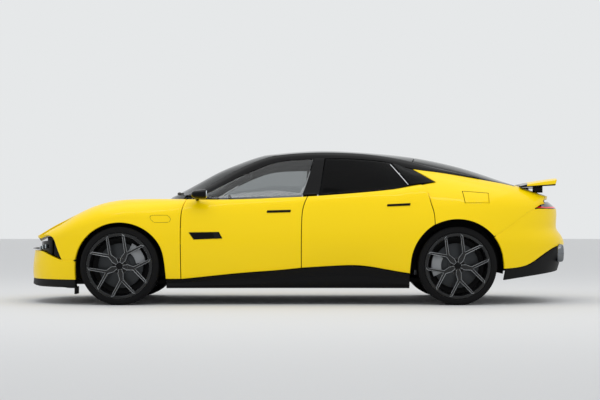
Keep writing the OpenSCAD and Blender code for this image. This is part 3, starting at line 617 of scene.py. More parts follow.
@dataclass
class Panel:
    """A pressed panel: the copied node, its facets turned into one smooth surface."""

    node: str
    finish: Finish
    label: str
    levels: int = 2
    crease: float = 42.0
    edge_mm: float = 2.0
    lined: bool = False
    quad_bend: float = 60.0
    quad_skew: float = 80.0
    inward: float = -0.4
    downward: float = -0.6

    def build(self, car: Car) -> bpy.types.Object:
        """Smooths, rounds the edges, dresses and attaches the panel.

        Args:
            car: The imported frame.

        Returns:
            The finished panel.
        """
        piece = car.copy(self.node, self.label)
        bend, skew = math.radians(self.quad_bend), math.radians(self.quad_skew)
        with Bench.editing(piece, "EDGE", everything=True):
            bpy.ops.mesh.tris_convert_to_quads(face_threshold=bend, shape_threshold=skew)
            bpy.ops.mesh.select_all(action="DESELECT")
            bpy.ops.mesh.edges_select_sharp(sharpness=math.radians(self.crease))
            bpy.ops.transform.edge_crease(value=1.0)
        if self.levels:
            Bench.apply(piece, "SUBSURF", levels=self.levels, render_levels=self.levels)
        Bench.bevel(piece, self.edge_mm / 1000)
        Bench.settle(piece, self.label, 32)
        Bench.dress(piece, self.finish)
        self.detail(piece)
        return car.attach(piece, car.owner[self.node], self.node)

    def detail(self, piece: bpy.types.Object) -> None:
        """Darkens the inner faces of a panel that is lined.

        Args:
            piece: The smoothed panel.
        """
        if not self.lined:
            return
        piece.data.materials.append(SATIN_BLACK.material())
        for face in piece.data.polygons:
            outward = face.normal.y * math.copysign(1.0, face.center.y)
            face.material_index = int(outward < self.inward or face.normal.z < self.downward)


@dataclass
class Carved:
    """A solid part: the copied node with its sharp edges broken."""

    node: str
    finish: Finish
    edge_mm: float = 2.0
    segments: int = 2
    angle: float = 32.0

    @property
    def label(self) -> str:
        """Name of the finished part."""
        return f"{self.node}_dressed"

    def build(self, car: Car) -> bpy.types.Object:
        """Breaks the edges, dresses and attaches the part.

        Args:
            car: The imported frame.

        Returns:
            The finished part.
        """
        piece = car.copy(self.node, self.label)
        with Bench.editing(piece, "FACE", everything=True):
            bpy.ops.mesh.dissolve_limited(angle_limit=math.radians(1))
        if self.edge_mm:
            Bench.bevel(piece, self.edge_mm / 1000, self.angle, self.segments)
        return car.fit(piece, self.label, 32, self.finish, car.owner[self.node], self.node)


@dataclass
class SkinPatch:
    """A thin trim piece that follows the skin of a panel, given by its four corners seen from the side."""

    label: str
    node: str
    corners: tuple[tuple[float, float], ...]
    finish: Finish
    stand_mm: float = 1.0
    thick_mm: float = 3.0
    columns: int = 14
    rows: int = 6
    round_share: float = 0.4
    round_max: float = 2.5

    def build(self, car: Car, side: Side) -> bpy.types.Object:
        """Lays a sheet on the skin, thickens it and attaches it to the body of the panel.

        Args:
            car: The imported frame.
            side: Side of the car.

        Returns:
            The finished trim piece.
        """
        piece = Bench.sheet(self.columns, self.rows)
        low_front, low_rear, top_rear, top_front = self.corners
        for vertex in piece.data.vertices:
            u, v = (vertex.co.x + 1) / 2, (vertex.co.y + 1) / 2
            low = [a + (b - a) * u for a, b in zip(low_front, low_rear)]
            top = [a + (b - a) * u for a, b in zip(top_front, top_rear)]
            x, z = (a + (b - a) * v for a, b in zip(low, top))
            vertex.co = (x, car.skin_y(self.node, x, z, side) + side.value * self.stand_mm / 1000, z)
        if side is Side.RIGHT:
            with Bench.editing(piece, "FACE", everything=True):
                bpy.ops.mesh.flip_normals()
        Bench.apply(piece, "SOLIDIFY", thickness=self.thick_mm / 1000, offset=1.0)
        Bench.bevel(piece, min(self.thick_mm * self.round_share, self.round_max) / 1000)
        return car.fit(piece, f"{self.label}_{side.word}", 32, self.finish, car.owner[self.node])


@dataclass
class SkinSeam:
    """A fine dark joint line drawn on a panel, given by its rounded outline seen from the side."""

    label: str
    node: str
    corners: tuple[tuple[float, float], ...]
    round_m: float = 0.022
    width_mm: float = 2.4

    def outline(self) -> list[tuple[float, float]]:
        """Rounds the corners of the outline.

        Returns:
            Points along the closed line.
        """
        points = []
        count = len(self.corners)
        for place, corner in enumerate(self.corners):
            here = Vector(corner)
            back = Vector(self.corners[place - 1]) - here
            ahead = Vector(self.corners[(place + 1) % count]) - here
            start = here + back.normalized() * self.round_m
            end = here + ahead.normalized() * self.round_m
            for t in (0.0, 0.25, 0.5, 0.75, 1.0):
                point = start * (1 - t) ** 2 + here * 2 * t * (1 - t) + end * t**2
                points.append((point.x, point.y))
            points.append(tuple((end + (here + ahead - ahead.normalized() * self.round_m)) / 2))
        return points

    def build(self, car: Car, side: Side) -> bpy.types.Object:
        """Lays a thin round line on the skin.

        Args:
            car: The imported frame.
            side: Side of the car.

        Returns:
            The finished line.
        """
        points = [(x, car.skin_y(self.node, x, z, side), z) for x, z in self.outline()]
        piece = Bench.cord(points, self.width_mm / 1000, 1)
        return car.fit(piece, f"{self.label}_{side.word}", 60, SATIN_BLACK, car.owner[self.node])


@dataclass
class Spoiler(Carved):
    """Raised rear wing: painted top and ends, black nose, underside and legs.

    Each pair is a measure in the middle of the wing and how much it drops towards the ends.
    """

    nose_share: float = 0.2
    half_span: float = 0.657
    end_from: float = 0.645
    front_x: tuple[float, float] = (2.1125, 0.056)
    rear_x: tuple[float, float] = (2.4645, 0.068)
    front_z: tuple[float, float] = (1.118, 0.030)
    rear_z: tuple[float, float] = (1.178, 0.032)
    nose_thick: float = 0.008
    tail_thick: float = 0.044
    leg_gap: float = 0.003
    edge_share: float = 0.72

    def build(self, car: Car) -> bpy.types.Object:
        """Breaks the edges and sets each face to paint or black.

        Args:
            car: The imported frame.

        Returns:
            The finished wing.
        """
        piece = car.copy(self.node, self.label)
        with Bench.editing(piece, "FACE", everything=True):
            bpy.ops.mesh.tris_convert_to_quads()
        Bench.bevel(piece, 0.003, 40)
        Bench.apply(piece, "SUBSURF", subdivision_type="SIMPLE", levels=2, render_levels=2)
        Bench.settle(piece, self.label, 32)
        Bench.dress(piece, self.finish, GLOSS_BLACK)
        for face in piece.data.polygons:
            face.material_index = int(self.is_black(face))
        return car.attach(piece, car.owner[self.node], self.node)

    def is_black(self, face: bpy.types.MeshPolygon) -> bool:
        """Tells whether a face of the wing is black.

        Args:
            face: Face to look at.

        Returns:
            True for the nose, the underside with its lower edge, the rear face and the legs.
        """
        x, y, z = face.center
        across = min(abs(y) / self.half_span, 1.0) ** 2
        measures = (self.front_x, self.rear_x, self.front_z, self.rear_z)
        front, rear, low, high = (middle - drop * across for middle, drop in measures)
        along = min(max((x - front) / (rear - front), 0.0), 1.0)
        top = low * (1 - along**0.8) + high * along**0.8
        thick = self.nose_thick + self.tail_thick * along**0.7
        leg = z < top - thick - self.leg_gap
        edge = abs(y) > self.end_from and z < top - self.edge_share * thick
        return face.normal.z < -0.2 or face.normal.x > 0.75 or along < self.nose_share or leg or edge


@dataclass
class Block:
    """A small rounded bar or box, turned and placed."""

    label: str
    size: Point
    place: Point
    finish: Finish
    body: str
    turn_deg: Point = (0.0, 0.0, 0.0)
    round_mm: float = 3.0

    def build(self, car: Car) -> bpy.types.Object:
        """Makes the box and rounds its edges.

        Args:
            car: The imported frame.

        Returns:
            The finished box.
        """
        turn = tuple(math.radians(t) for t in self.turn_deg)
        piece = Bench.new(
            bpy.ops.mesh.primitive_cube_add, size=1, location=self.place, rotation=turn, scale=self.size
        )
        bpy.ops.object.transform_apply(location=False, rotation=False, scale=True)
        Bench.bevel(piece, self.round_mm / 1000, 30, 3)
        return car.fit(piece, self.label, 40, self.finish, self.body)


@dataclass
class OvalRing:
    """Oval outlet ring at a rear corner of the diffuser."""

    label: str
    place: Point
    height: float = 0.150
    width: float = 0.115
    depth: float = 0.060
    section: float = 0.06

    def build(self, car: Car) -> bpy.types.Object:
        """Makes a round ring, draws it out to an oval tube and attaches it.

        Args:
            car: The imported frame.

        Returns:
            The finished ring.
        """
        piece = Bench.new(
            bpy.ops.mesh.primitive_torus_add, location=self.place, rotation=(0, math.pi / 2, 0),
            major_radius=0.5, minor_radius=self.section, major_segments=48, minor_segments=12,
        )
        piece.scale = (self.height, self.width, self.depth / (2 * self.section))
        return car.fit(piece, self.label, 60, SMOKED_STEEL, "body_shell")


@dataclass
class NoseInsert:
    """A strip shaped from the band in the nose: a dark backing behind the slot, or the blade in front of it."""

    label: str
    finish: Finish
    shift: Point
    middle_z: float
    height: float = 1.0
    half_width: float = 2.0
    node: str = "grille_band"

    def build(self, car: Car) -> bpy.types.Object:
        """Moves and flattens a copy of the band and trims its ends.

        Args:
            car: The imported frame.

        Returns:
            The finished strip.
        """
        piece = car.copy(self.node, self.label)
        for vertex in piece.data.vertices:
            x, y, z = vertex.co
            level = self.middle_z + (z - self.middle_z) * self.height
            vertex.co = (x + self.shift[0], y + self.shift[1], level + self.shift[2])
        for sign in (-1, 1):
            with Bench.editing(piece, "FACE", everything=True):
                bpy.ops.mesh.bisect(
                    plane_co=(0, sign * self.half_width, 0), plane_no=(0, sign, 0), use_fill=True, clear_outer=True
                )
        Bench.bevel(piece, 0.0015)
        return car.fit(piece, self.label, 40, self.finish, car.owner[self.node])


@dataclass
class MirrorGlass:
    """Oval mirror glass in the rear of a door mirror."""

    label: str
    place: Point
    body: str
    half_width: float = 0.056
    half_height: float = 0.033
    thick: float = 0.006

    def build(self, car: Car) -> bpy.types.Object:
        """Makes an oval plate with a ground edge.

        Args:
            car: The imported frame.

        Returns:
            The finished glass.
        """
        piece = Bench.new(
            bpy.ops.mesh.primitive_cylinder_add, vertices=64, radius=1.0, depth=self.thick, location=self.place,
            rotation=(0, math.pi / 2, 0),
        )
        piece.scale = (self.half_height, self.half_width, 1.0)
        bpy.ops.object.transform_apply(location=True, rotation=True, scale=True)
        Bench.bevel(piece, 0.0015)
        return car.fit(piece, self.label, 32, MIRROR, self.body)


@dataclass
class DustShield:
    """Black sheet disc behind a brake disc, with a turned-over edge."""

    corner: str
    centre: Point
    body: str
    inset: float
    radius: float = 0.2618
    half_tyre: float = 0.1325
    thick: float = 0.002
    steps: tuple[tuple[float, float], ...] = ((0.012, 0.0), (0.004, -0.0012))

    def build(self, car: Car) -> bpy.types.Object:
        """Makes the sheet and attaches it to what carries the brake.

        Args:
            car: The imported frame.

        Returns:
            The finished shield.
        """
        x, y, z = self.centre
        side = -1 if y < 0 else 1
        piece = Bench.new(
            bpy.ops.mesh.primitive_cylinder_add, vertices=72, radius=self.radius, depth=self.thick,
            rotation=(math.pi / 2, 0, 0), location=(x, y - side * (self.inset - self.half_tyre), z),
        )
        bpy.ops.object.transform_apply(location=True, rotation=True, scale=True)
        Bench.pick(piece, lambda face: face.normal.y * side > 0.9)
        with Bench.editing(piece):
            for width, depth in self.steps:
                bpy.ops.mesh.inset(thickness=width, depth=depth)
        Bench.bevel(piece, 0.0006)
        return car.fit(piece, f"dust_shield_{self.corner}", 32, SATIN_BLACK, self.body)


@dataclass
class Wiper:
    """Wiper blade that rests on the lower edge of the screen.

    That edge is a curve: it stands at edge_x in the middle and lies farther back by sweep at edge_half.
    """

    label: str
    start_y: float
    end_y: float
    lift: float
    node: str = "windshield"
    edge_x: float = -1.220
    sweep: float = 0.18
    edge_half: float = 0.736
    inset: float = 0.030
    width: float = 0.016
    thick: float = 0.014
    stand: float = 0.009
    slope: float = 0.46
    steps: int = 24

    def build(self, car: Car) -> bpy.types.Object:
        """Cuts a bar into steps and lays each step on the glass.

        Args:
            car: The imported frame.

        Returns:
            The finished blade.
        """
        piece = Bench.new(bpy.ops.mesh.primitive_cube_add, size=1)
        for step in range(1, self.steps):
            with Bench.editing(piece, "FACE", everything=True):
                bpy.ops.mesh.bisect(plane_co=(0, step / self.steps - 0.5, 0), plane_no=(0, 1, 0))
        for vertex in piece.data.vertices:
            share = vertex.co.y + 0.5
            y = self.start_y + (self.end_y - self.start_y) * share
            x = self.edge_x + self.sweep * (y / self.edge_half) ** 2 + self.inset + self.lift * share
            aside = vertex.co.x * self.width * (1 - 0.5 * abs(2 * share - 1))
            up = self.stand + vertex.co.z * self.thick + aside * self.slope
            vertex.co = (x + aside, y, car.top_z(self.node, x, y) + up)
        Bench.bevel(piece, 0.003, 40)
        return car.fit(piece, self.label, 40, SATIN_BLACK, "body_shell")


@dataclass
class FrontTrunk:
    """Moulded cover under the hood with the luggage tub sunk into it."""

    label: str = "front_trunk"
    drop: float = 0.045
    ends: tuple[float, float] = (-2.36, -1.335)
    tub_x: tuple[float, float] = (-2.02, -1.50)
    tub_y: float = 0.36
    depth: float = 0.25
    rim: float = 0.012
    lip: float = 0.018
    taper: Point = (0.9, 0.9, 0.35)
    thick: float = 0.003

    def build(self, car: Car) -> bpy.types.Object:
        """Takes the outer skin of the hood, lowers it, trims it and sinks the tub.

        Args:
            car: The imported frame.

        Returns:
            The finished cover.
        """
        piece = car.copy("hood", self.label)
        Bench.pick(piece, lambda face: face.normal.z < 0.2)
        with Bench.editing(piece):
            bpy.ops.mesh.delete(type="FACE")
        for place, way in zip(self.ends, (-1, 1)):
            with Bench.editing(piece, "FACE", everything=True):
                bpy.ops.mesh.bisect(plane_co=(place, 0, 0), plane_no=(way, 0, 0), clear_outer=True)
        cuts = [((x, 0, 0), (1, 0, 0)) for x in self.tub_x]
        cuts += [((0, y, 0), (0, 1, 0)) for y in (-self.tub_y, self.tub_y)]
        for place, way in cuts:
            with Bench.editing(piece, "FACE", everything=True):
                bpy.ops.mesh.bisect(plane_co=place, plane_no=way)
        front, rear = self.tub_x
        Bench.pick(piece, lambda face: front < face.center.x < rear and abs(face.center.y) < self.tub_y)
        with Bench.editing(piece):
            bpy.ops.mesh.extrude_region_move(TRANSFORM_OT_translate={"value": (0, 0, self.rim)})
            bpy.ops.mesh.inset(thickness=self.lip)
            bpy.ops.mesh.extrude_region_move(TRANSFORM_OT_translate={"value": (0, 0, -self.depth)})
            bpy.ops.transform.resize(value=self.taper)
        with Bench.editing(piece, "VERT", everything=True):
            bpy.ops.transform.translate(value=(0, 0, -self.drop))
            bpy.ops.mesh.normals_make_consistent(inside=False)
        Bench.apply(piece, "SOLIDIFY", thickness=self.thick, offset=-1.0)
        Bench.bevel(piece, 0.006, 40, 3)
        return car.fit(piece, self.label, 40, SATIN_BLACK, "body_shell")


@dataclass
class BootLining:
    """Trim of the luggage bay: floor, side walls, boxes over the wheels and the step at the tail.

    Each station has its place along the car, the y and z of the wall's top, the y and z of the wheel box and
    the height of the floor.
    """

    label: str = "boot_lining"
    stations: tuple[tuple[float, float, float, float, float, float], ...] = (
        (1.36, 0.660, 1.165, 0.488, 0.815, 0.62), (1.50, 0.662, 1.143, 0.488, 0.815, 0.62),
        (1.65, 0.660, 1.117, 0.488, 0.815, 0.62), (1.78, 0.650, 1.094, 0.490, 0.810, 0.62),
        (1.90, 0.638, 1.072, 0.560, 0.700, 0.62), (2.02, 0.626, 1.044, 0.585, 0.650, 0.62),
        (2.14, 0.616, 1.010, 0.585, 0.645, 0.62), (2.25, 0.606, 0.972, 0.575, 0.645, 0.62),
        (2.29, 0.600, 0.958, 0.570, 0.868, 0.86),
    )
    draft: float = 0.006
    fall: float = 0.008
    thick: float = 0.003

    def build(self, car: Car) -> bpy.types.Object:
        """Lays a sheet through the cross-sections of the bay, thickens it and rounds its corners.

        Args:
            car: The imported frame.

        Returns:
            The finished lining.
        """
        count = len(self.stations) - 1
        piece = Bench.sheet(count, 8)
        for vertex in piece.data.vertices:
            x, top_y, top_z, box_y, box_z, floor_z = self.stations[round((vertex.co.x + 1) / 2 * count)]
            row = round(vertex.co.y * 4)
            floor = ((0.0, floor_z), (box_y - self.draft, floor_z))
            wall = ((box_y, box_z), (top_y, box_z + self.fall), (top_y, top_z))
            y, z = (*floor, *wall)[abs(row)]
            vertex.co = (x, math.copysign(y, row), z)
        with Bench.editing(piece, "FACE", everything=True):
            bpy.ops.mesh.normals_make_consistent(inside=False)
        Bench.apply(piece, "SOLIDIFY", thickness=self.thick, offset=0.0)
        Bench.bevel(piece, 0.010, 40, 3)
        return car.fit(piece, self.label, 40, LINING, "body_shell")


@dataclass
class RoofTrim:
    """Dark lining along the inside of a roof rail, between an upper and a lower line.

    Each step has its place along the car, then y and z of the upper and of the lower line.
    """

    side: Side
    line: tuple[tuple[float, float, float, float, float], ...] = (
        (-0.62, 0.715, 1.150, 0.704, 1.125), (-0.45, 0.677, 1.233, 0.668, 1.203), (-0.28, 0.640, 1.300, 0.632, 1.262),
        (-0.10, 0.620, 1.340, 0.634, 1.275), (0.063, 0.612, 1.350, 0.636, 1.277), (0.30, 0.610, 1.358, 0.638, 1.277),
        (0.55, 0.608, 1.352, 0.636, 1.272), (0.80, 0.608, 1.328, 0.634, 1.258), (0.95, 0.608, 1.295, 0.630, 1.235),
    )
    bow: float = 0.010
    thick: float = 0.004

    def build(self, car: Car) -> bpy.types.Object:
        """Lays a sheet between the two lines, bows it in and thickens it.

        Args:
            car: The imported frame.

        Returns:
            The finished lining.
        """
        count = len(self.line) - 1
        piece = Bench.sheet(count, 4)
        for vertex in piece.data.vertices:
            x, top_y, top_z, low_y, low_z = self.line[round((vertex.co.x + 1) / 2 * count)]
            share = (vertex.co.y + 1) / 2
            y = low_y + (top_y - low_y) * share - self.bow * math.sin(math.pi * share)
            vertex.co = (x, self.side.value * y, low_z + (top_z - low_z) * share)
        Bench.apply(piece, "SUBSURF", levels=2, render_levels=2)
        Bench.apply(piece, "SOLIDIFY", thickness=self.thick, offset=0.0)
        with Bench.editing(piece, "FACE", everything=True):
            bpy.ops.mesh.normals_make_consistent(inside=False)
        return car.fit(piece, f"roof_trim_{self.side.word}", 40, LINING, "body_shell")


@dataclass
class LampUnit:
    """Square lamp of a headlamp: a bright frame round a domed lens."""

    label: str
    y: float
    z: float
    half: float = 0.024
    tall: float = 1.5
    thick: float = 0.014
    toe_deg: float = 24.0
    lens_share: float = 0.72
    steps: tuple[tuple[float, float], ...] = ((0.005, 0.0), (0.002, -0.004), (0.004, 0.005))
    node: str = "headlamps"

    def build(self, car: Car) -> bpy.types.Object:
        """Makes a rounded plate on the face of the headlamp and raises the lens from it.

        Args:
            car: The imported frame.

        Returns:
            The finished lamp.
        """
        piece = Bench.new(
            bpy.ops.mesh.primitive_cube_add, size=1, scale=(self.thick, 2 * self.half, self.tall * self.half),
            location=(car.front_x(self.node, self.y, self.z), self.y, self.z),
            rotation=(0, 0, math.copysign(math.radians(self.toe_deg), self.y)),
        )
        bpy.ops.object.transform_apply(location=False, rotation=False, scale=True)
        Bench.pick(piece, lambda face: face.normal.x < -0.9)
        with Bench.editing(piece):
            for width, depth in self.steps:
                bpy.ops.mesh.inset(thickness=width, depth=depth)
        Bench.dress(piece, LAMP_BODY, WHITE_LIGHT)
        for face in piece.data.polygons:
            face.material_index = int(face.normal.x < -0.5 and abs(face.center.y) < self.half * self.lens_share)
        Bench.bevel(piece, 0.0015, 35)
        Bench.settle(piece, self.label, 40)
        return car.attach(piece, car.owner[self.node])


@dataclass
class JointStrip:
    """Paint-coloured filler under the joint of two fixed panels, so that the joint is a fine line."""

    label: str
    nodes: tuple[str, str]
    line: tuple[tuple[float, float], ...]
    reach: float = 0.016
    under_mm: float = 2.0
    thick: float = 0.001

    def build(self, car: Car, side: Side) -> bpy.types.Object:
        """Lays a ribbon just under the skins on both sides of the joint.

        Args:
            car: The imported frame.
            side: Side of the car.

        Returns:
            The finished ribbon.
        """
        count = len(self.line) - 1
        piece = Bench.sheet(count, 2)
        for vertex in piece.data.vertices:
            place = round((vertex.co.x + 1) / 2 * count)
            here = Vector(self.line[place])
            ahead = Vector(self.line[min(place + 1, count)]) - Vector(self.line[max(place - 1, 0)])
            across = Vector((-ahead.y, ahead.x)).normalized() * self.reach
            skins = []
            for node, sign in zip(self.nodes, (1, -1)):
                x, z = here + across * sign
                skins.append(Vector((x, car.skin_y(node, x, z, side) - side.value * self.under_mm / 1000, z)))
            upper, lower = skins
            vertex.co = lower.lerp(upper, (vertex.co.y + 1) / 2)
        Bench.apply(piece, "SOLIDIFY", thickness=self.thick, offset=0.0)
        return car.fit(piece, f"{self.label}_{side.word}", 40, PAINT, car.owner[self.nodes[0]])


@dataclass
class Tyre:
    """Low tyre with a rounded sidewall, a rim guard and a cut tread.

    The sidewall is given by radius and inset from the outer face, a groove by depth and place across.
    """

    node: str
    centre: Point
    width: float
    radius: float = 0.356
    sidewall: tuple[tuple[float, float], ...] = (
        (0.282, 0.0137), (0.299, 0.0135), (0.302, 0.006), (0.308, 0.0015), (0.316, 0.0006), (0.319, 0.0026),
        (0.326, 0.0022), (0.335, 0.0035), (0.344, 0.0075), (0.350, 0.0135), (0.3535, 0.022),
    )
    groove: tuple[tuple[float, float], ...] = (
        (0.0006, -0.0065), (0.0065, -0.0050), (0.0065, 0.0050), (0.0006, 0.0065),
    )
    grooves: tuple[float, ...] = (-0.42, -0.14, 0.14, 0.42)
    shoulder_radius: float = 0.3515
    shoulder_share: float = 0.43
    steps: int = 120

    def profile(self) -> list[tuple[float, float]]:
        """Lists the half section of the tyre from the outer bead round to the inner one.

        Returns:
            Pairs of radius and place across the tyre.
        """
        half = self.width / 2
        side = [(rad, inset - half) for rad, inset in self.sidewall]
        tread = []
        for place in self.grooves:
            tread += [(self.radius - deep, place * self.width + aside) for deep, aside in self.groove]
        return side + tread + [(rad, -y) for rad, y in reversed(side)]

    def build(self, car: Car) -> bpy.types.Object:
        """Turns the section round the axle, cuts the shoulder blocks and attaches the tyre.

        Args:
            car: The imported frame.

        Returns:
            The finished tyre.
        """
        x, y, z = self.centre
        piece = Bench.loop([(x, y + across, z + rad) for rad, across in self.profile()])
        with Bench.editing(piece, "VERT", everything=True):
            bpy.ops.mesh.spin(steps=self.steps, angle=2 * math.pi, center=self.centre, axis=(0, 1, 0))
            bpy.ops.mesh.select_all(action="SELECT")
            bpy.ops.mesh.remove_doubles(threshold=0.00005)
            bpy.ops.mesh.normals_make_consistent(inside=False)
        Bench.pick(piece, self.in_cross_groove)
        with Bench.editing(piece):
            bpy.ops.mesh.inset(thickness=0.003, depth=-0.0045, use_individual=True)
        return car.fit(piece, f"{self.node}_dressed", 30, RUBBER, car.owner[self.node], self.node)

    def in_cross_groove(self, face: bpy.types.MeshPolygon) -> bool:
        """Tells whether a face is sunk as a cross groove.

        Args:
            face: Face of the turned tyre.

        Returns:
            True for every second face of a shoulder.
        """
        x, y, z = face.center - Vector(self.centre)
        share = math.atan2(z, x) % (2 * math.pi) / (2 * math.pi)
        on_shoulder = math.hypot(x, z) > self.shoulder_radius and abs(y) / self.width > self.shoulder_share
        return on_shoulder and int(share * self.steps) % 2 == 0


@dataclass
class Wheel:
    """One wheel: rim with bright cut edges, bolts, cap, disc and its tyre."""

    corner: str
    centre: Point
    tyre_width: float
    cap: tuple[float, float, int] = (0.031, 0.010, 48)
    bolt: tuple[float, float, int] = (0.011, 0.012, 6)
    bolt_circle: float = 0.056
    bolt_turn: float = 26.0
    bolt_sunk: float = 0.004
    stand: float = 0.001
    spokes: int = 5
    spoke_turn: float = 62.0
    fork: tuple[tuple[float, float], ...] = (
        (0.030, 0.012), (0.068, 0.024), (0.127, 0.0155), (0.264, 0.112), (0.2625, 0.0905), (0.1415, 0.0),
    )
    edge_width: float = 0.0040

    def build(self, car: Car) -> None:
        """Builds every piece of the wheel.

        Args:
            car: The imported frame.
        """
        Tyre(f"tyre_{self.corner}", self.centre, self.tyre_width).build(car)
        self.rim(car)
        self.disc(car)
        self.bolts(car)
        self.cut_edges(car)

    @property
    def side(self) -> Side:
        """Side of the car that the wheel is on."""
        return Side.LEFT if self.centre[1] < 0 else Side.RIGHT

    def rim(self, car: Car) -> None:
        """Breaks the edges of the rim and leaves them bright.

        Args:
            car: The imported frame.
        """
        node = f"rim_{self.corner}"
        piece = car.copy(node, f"{node}_dressed")
        with Bench.editing(piece, "FACE", everything=True):
            bpy.ops.mesh.dissolve_limited(angle_limit=math.radians(1))
        Bench.dress(piece, ALLOY, CUT_ALLOY)
        for face in piece.data.polygons:
            face.material_index = 0
        Bench.bevel(piece, 0.0065, 38, material=1)
        Bench.settle(piece, f"{node}_dressed", 30)
        car.attach(piece, car.owner[node], node)

    def disc(self, car: Car) -> None:
        """Gives the brake disc its turned face.

        Args:
            car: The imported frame.
        """
        node = f"disc_{self.corner}"
        piece = car.copy(node, f"{node}_dressed")
        Bench.bevel(piece, 0.0012, 40)
        # Grey cast iron turned on a lathe: fine rings around the axle
        iron = TurnedFinish(f"Turned brake iron {self.corner}", "3C3E40", 0.38, 0.9, centre=self.centre)
        car.fit(piece, f"{node}_dressed", 30, iron, car.owner[node], node)

    def bolts(self, car: Car) -> None:
        """Adds a bolt head for each spoke, and the centre cap.

        Args:
            car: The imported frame.
        """
        pieces = [self.button(0.0, 0.0, self.face_y(car, 0.0, 0.0), *self.cap)]
        for step in range(self.spokes):
            turn = math.radians(self.bolt_turn + 360 / self.spokes * step)
            x, z = self.bolt_circle * math.cos(turn), self.bolt_circle * math.sin(turn)
            y = self.face_y(car, x, z) - self.side.value * self.bolt_sunk
            pieces.append(self.button(x, z, y, *self.bolt))
        car.fit(Bench.join(pieces), f"hub_bolts_{self.corner}", 32, GLOSS_BLACK, car.owner[f"rim_{self.corner}"])

    def cut_edges(self, car: Car) -> None:
        """Lays the bright cut edge round the face of each forked spoke.

        Args:
            car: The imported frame.
        """
        outline = [*self.fork, *((r, -t) for r, t in reversed(self.fork[:-1]))]
        lines = []
        for step in range(self.spokes):
            turn = math.radians(self.spoke_turn + 360 / self.spokes * step)
            points = []
            for here, ahead in zip(outline, [*outline[1:], outline[0]]):
                for share in (0.0, 0.2, 0.4, 0.6, 0.8):
                    along, aside = (a + (b - a) * share for a, b in zip(here, ahead))
                    dx = along * math.cos(turn) - aside * math.sin(turn)
                    dz = along * math.sin(turn) + aside * math.cos(turn)
                    points.append((self.centre[0] + dx, self.face_y(car, dx, dz), self.centre[2] + dz))
            lines.append(Bench.cord(points, self.edge_width, 0))
        car.fit(Bench.join(lines), f"cut_edges_{self.corner}", 60, CUT_ALLOY, car.owner[f"rim_{self.corner}"])

    def face_y(self, car: Car, dx: float, dz: float) -> float:
        """Place of the rim's face at a step along the car and a step up from the hub."""
        return car.skin_y(f"rim_{self.corner}", self.centre[0] + dx, self.centre[2] + dz, self.side)

    def button(self, dx: float, dz: float, y: float, radius: float, depth: float, sides: int) -> bpy.types.Object:
        """Makes a round or six-sided head that stands on the rim face.

        Args:
            dx: Step along the car from the hub.
            dz: Step up from the hub.
            y: Place of the face.
            radius: Radius of the head.
            depth: Height of the head.
            sides: Number of sides.

        Returns:
            The new head.
        """
        head = Bench.new(
            bpy.ops.mesh.primitive_cylinder_add, vertices=sides, radius=radius, depth=depth,
            rotation=(math.pi / 2, 0, 0),
            location=(self.centre[0] + dx, y + self.side.value * self.stand, self.centre[2] + dz),
        )
        bpy.ops.object.transform_apply(location=True, rotation=True, scale=True)
        Bench.bevel(head, 0.002)
        return head


@dataclass
class TailLamp(Panel):
    """Lamp bar across the tail with a thin lit line."""

    low_z: float = 0.889
    high_z: float = 0.897

    def detail(self, piece: bpy.types.Object) -> None:
        """Lights the faces along one line of the lens.

        Args:
            piece: The smoothed lamp bar.
        """
        piece.data.materials.append(RED_LIGHT.material())
        for face in piece.data.polygons:
            face.material_index = int(self.low_z < face.center.z < self.high_z)


